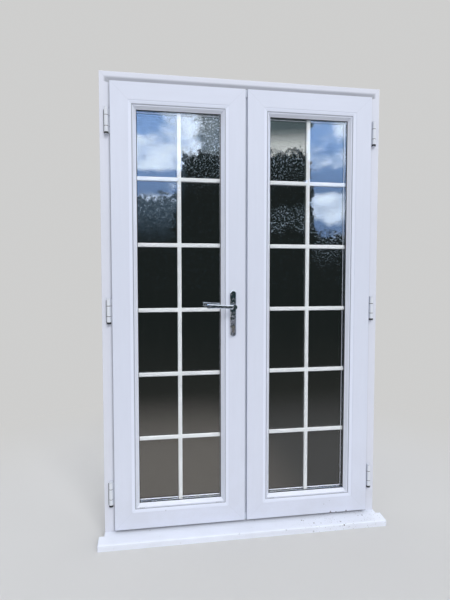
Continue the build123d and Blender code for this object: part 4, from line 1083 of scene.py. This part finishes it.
@dataclass
class Studio:
    """Pale floor, plain soft light, a dark card behind the doorway, and the camera.

    The colours from haze to shade are those of what the glass mirrors.
    """

    backdrop: Colour = (0.62, 0.62, 0.615)
    fill_above: Colour = (0.86, 0.88, 0.92)
    fill_level: Colour = (0.61, 0.62, 0.65)
    key_power: float = 1.35
    key_spread: float = 24.0
    haze: Colour = (0.75, 1.25, 2.30)
    clear: Colour = (1.25, 2.15, 4.0)
    bright: Colour = (4.5, 5.3, 6.4)
    muted: Colour = (0.42, 0.58, 0.64)
    pale: Colour = (3.2, 3.4, 3.4)
    dusk: Colour = (0.20, 0.34, 0.50)
    spark: Colour = (1.8, 2.3, 2.9)
    shade: Colour = (0.020, 0.036, 0.034)
    eye: Point = (-0.4214, -2.0423, 1.1721)
    ahead: Point = (0.15792, 0.98608, -0.05218)
    upright: Point = (0.008251, 0.051524, 0.998647)
    lens: float = 27.51
    sensor: float = 36.0
    clip_end: float = 200.0
    lamp_place: Point = (0.9, -3.6, 3.9)
    lamp_aim: Point = (0.0, 0.0, 0.9)
    lamp_colour: Colour = (1.0, 0.995, 0.985)
    floor_reach: float = 40.0
    card_low: Point = (-0.70, 0.13, 0.004)
    card_high: Point = (0.70, 0.13, 2.030)

    def build(self) -> None:
        """Set up the studio."""
        self.floor()
        self.card()
        self.world()
        self.lamp()
        self.camera()
        bpy.context.scene.view_settings.view_transform = "Standard"

    @staticmethod
    def plane(name: str, low: Point, high: Point) -> tuple[bpy.types.Object, Canvas]:
        """A flat stage piece.

        Args:
            name: Its name, and its material's.
            low: One corner.
            high: The corner across from it.

        Returns:
            The new object and the canvas of its material.
        """
        data = bpy.data.meshes.new(name)
        corners = [low, (high[0], low[1], low[2]), high, (low[0], high[1], high[2])]
        data.from_pydata(corners, [], [(0, 1, 2, 3)])
        piece = new_object(name, data)
        material = bpy.data.materials.new(name)
        material.use_nodes = True
        data.materials.append(material)
        return piece, Canvas(material.node_tree)

    def floor(self) -> None:
        """A wide pale floor that fades into the backdrop, and looks dull where it is mirrored."""
        reach = self.floor_reach
        _, canvas = self.plane("studio_floor", (-reach, -reach, 0.0), (reach, reach, 0.0))
        x, y, _ = canvas.place
        seen, glass, shiny = canvas.rays()
        distance = (x ** 2.0 + y ** 2.0) ** 0.5
        solid = canvas.shader("ShaderNodeBsdfDiffuse", self.backdrop)
        plain = canvas.shader("ShaderNodeEmission", self.backdrop)
        faded = canvas.mixed(distance.step(1.0, 2.4) * seen, solid, plain)
        near = canvas.blend((0.66, 0.63, 0.60), (0.24, 0.26, 0.28), x.step(0.0, 0.55))
        tone = canvas.blend(self.shade, near, abs(y).step(2.6, 0.8))
        patch = canvas.noise(canvas.vector(x * 1.3, y * 0.35, 0.0), 1.0, 3.0, 0.6).step(0.44, 0.58)
        tone = canvas.blend(tone, (0.62, 0.60, 0.68), shiny * patch * distance.step(13.0, 7.0))
        surface = canvas.mixed(glass.high(shiny), faded, canvas.shader("ShaderNodeEmission", tone))
        canvas.output(surface)

    def card(self) -> None:
        """A dark card behind the doorway, seen only from a pane right in front of it.

        The panes of a closed leaf read dark against it; an open leaf's panes stay clear.
        """
        piece, canvas = self.plane("studio_card", self.card_low, self.card_high)
        for ray in ("camera", "diffuse", "glossy", "shadow", "volume_scatter"):
            setattr(piece, f"visible_{ray}", False)
        _, _, z = canvas.place
        tone = canvas.blend((0.008, 0.009, 0.009), (0.030, 0.028, 0.025), z.step(1.0, 0.2))
        path = canvas.node("ShaderNodeLightPath")
        scattered = canvas.wire(path, "Diffuse Depth").step(0.1, 0.9)
        far = canvas.wire(path, "Ray Length").step(0.30, 0.40)
        surface = canvas.mixed(scattered.high(far), canvas.shader("ShaderNodeEmission", tone),
                               canvas.shader("ShaderNodeBsdfTransparent", WHITE))
        canvas.output(surface)

    def mirrored(self, canvas: Canvas, ray: Socket) -> Socket:
        """Draw what the glass mirrors: bright patches high up above a ragged dark edge.

        Args:
            canvas: The world's.
            ray: The direction looked in.

        Returns:
            The socket of its colour.
        """
        across, ahead, rise = canvas.parts(ray)
        turn = across.math("ARCTAN2", ahead * -1.0) * TO_DEGREES
        lift = rise.math("ARCSINE") * TO_DEGREES
        point = canvas.vector(turn, lift, 0.0)
        coarse = canvas.noise(point, 0.55, 3.0, 0.6)
        fine = canvas.noise(point, 1.9, 4.0, 0.75)
        dots = canvas.noise(point, 4.4, 2.0, 0.7).step(0.52, 0.64)
        bent = turn + coarse.swing(3.0) + fine.swing(2.5)
        right = turn.step(12.0, 12.6)
        edge = 9.9 + bent.step(2.6, 4.2) * 5.1 - bent.step(19.0, 20.4) * 9.6
        depth = edge + coarse.swing(2.5) + fine.swing(5.0) - lift
        above = canvas.blend(self.haze, self.clear, lift.step(9.0, 17.0))
        veil = canvas.noise(canvas.vector(turn * 0.6, lift, 1.3), 0.24, 5.0, 0.58)
        high = lift.step(12.0, 13.4) * (1.0 - 0.6 * turn.step(10.0, 18.0))
        low = lift.step(5.2, 7.6) * lift.step(10.6, 9.2)
        corner = turn.step(2.6, -1.0) * lift.step(15.8, 18.2)
        cover = (veil + high * 0.20 + low * 0.22 - corner * 0.35 - 0.13).step(0.38, 0.62)
        above = canvas.blend(above, self.bright, cover)
        gap = bent.step(5.2, 6.4) * (1.0 - dots * 0.7) * 0.88 * bent.step(13.5, 12.5)
        above = canvas.blend(above, self.muted, gap)
        pale = canvas.blend(self.pale, self.muted, lift.step(15.0, 17.6))
        above = canvas.blend(above, pale, right * bent.step(19.6, 19.0))
        sway = lift + coarse.swing(6.0)
        band = dots * right * sway.step(4.8, 6.6) * sway.step(8.8, 7.4)
        glow = depth.step(7.0, 0.5) * turn.step(4.6, 3.4) + fine.step(0.5, 0.7) * 0.12
        below = canvas.blend(self.shade, self.dusk, glow)
        below = canvas.blend(below, self.spark, (dots * depth.step(5.0, 0.3)).high(band) * 0.65)
        return canvas.blend(above, below, depth.step(-0.4, 0.7))

    def world(self) -> None:
        """Plain soft light all round; metal sees it with a dark band level with the eye."""
        world = bpy.data.worlds.new("studio_world")
        world.use_nodes = True
        bpy.context.scene.world = world
        canvas = Canvas(world.node_tree)
        ray = canvas.node("ShaderNodeTexCoord").outputs["Generated"]
        rise = canvas.parts(ray)[2]
        seen, glass, shiny = canvas.rays()
        fill = canvas.blend(self.fill_level, self.fill_above, rise.step(0.1, 1.0))
        height = rise + canvas.noise(ray, 9.0, 3.0, 0.6).swing(0.6)
        band = canvas.blend((0.025, 0.045, 0.055), (1.5, 1.57, 1.70), height.step(0.08, 0.26))
        colour = canvas.blend(fill, band, shiny)
        colour = canvas.blend(colour, self.mirrored(canvas, ray), glass)
        colour = canvas.blend(colour, self.backdrop, seen)
        light = canvas.shader("ShaderNodeBackground", colour)
        canvas.node("ShaderNodeOutputWorld", None, {"Surface": light})

    def lamp(self) -> None:
        """One very soft lamp from above and a little right, in front of the doors."""
        data = bpy.data.lights.new("studio_key", "SUN")
        data.energy = self.key_power
        data.angle = math.radians(self.key_spread)
        data.color = self.lamp_colour
        lamp = new_object("studio_key", data)
        lamp.location = self.lamp_place
        lamp.rotation_euler = (Vector(self.lamp_aim) - lamp.location).to_track_quat("-Z", "Y").to_euler()
        lamp.visible_glossy = False
        lamp.visible_camera = False

    def camera(self) -> None:
        """The photograph's viewpoint."""
        ahead, upright = Vector(self.ahead), Vector(self.upright)
        right = ahead.cross(upright)
        data = bpy.data.cameras.new("photo_view")
        data.lens = self.lens
        data.sensor_width = self.sensor
        data.clip_end = self.clip_end
        camera = new_object("photo_view", data)
        turn = Matrix((right, upright, -ahead)).transposed()
        camera.matrix_world = Matrix.Translation(Vector(self.eye)) @ turn.to_4x4()
        bpy.context.scene.camera = camera


def main() -> None:
    """Build every sub-assembly in order."""
    logging.basicConfig(level=logging.INFO, format="%(name)s: %(message)s")
    OuterFrame().build()
    Sill().build()
    Leaf(Side.ACTIVE, -0.590, -0.005, marks=ACTIVE_MARKS).build()
    Leaf(Side.PASSIVE, 0.005, 0.590, marks=PASSIVE_MARKS).build()
    for side in Side:
        Hinges(side).build()
    Lock().build()
    MeetingMullion().build()
    Studio().build()


if __name__ == "__main__":
    main()
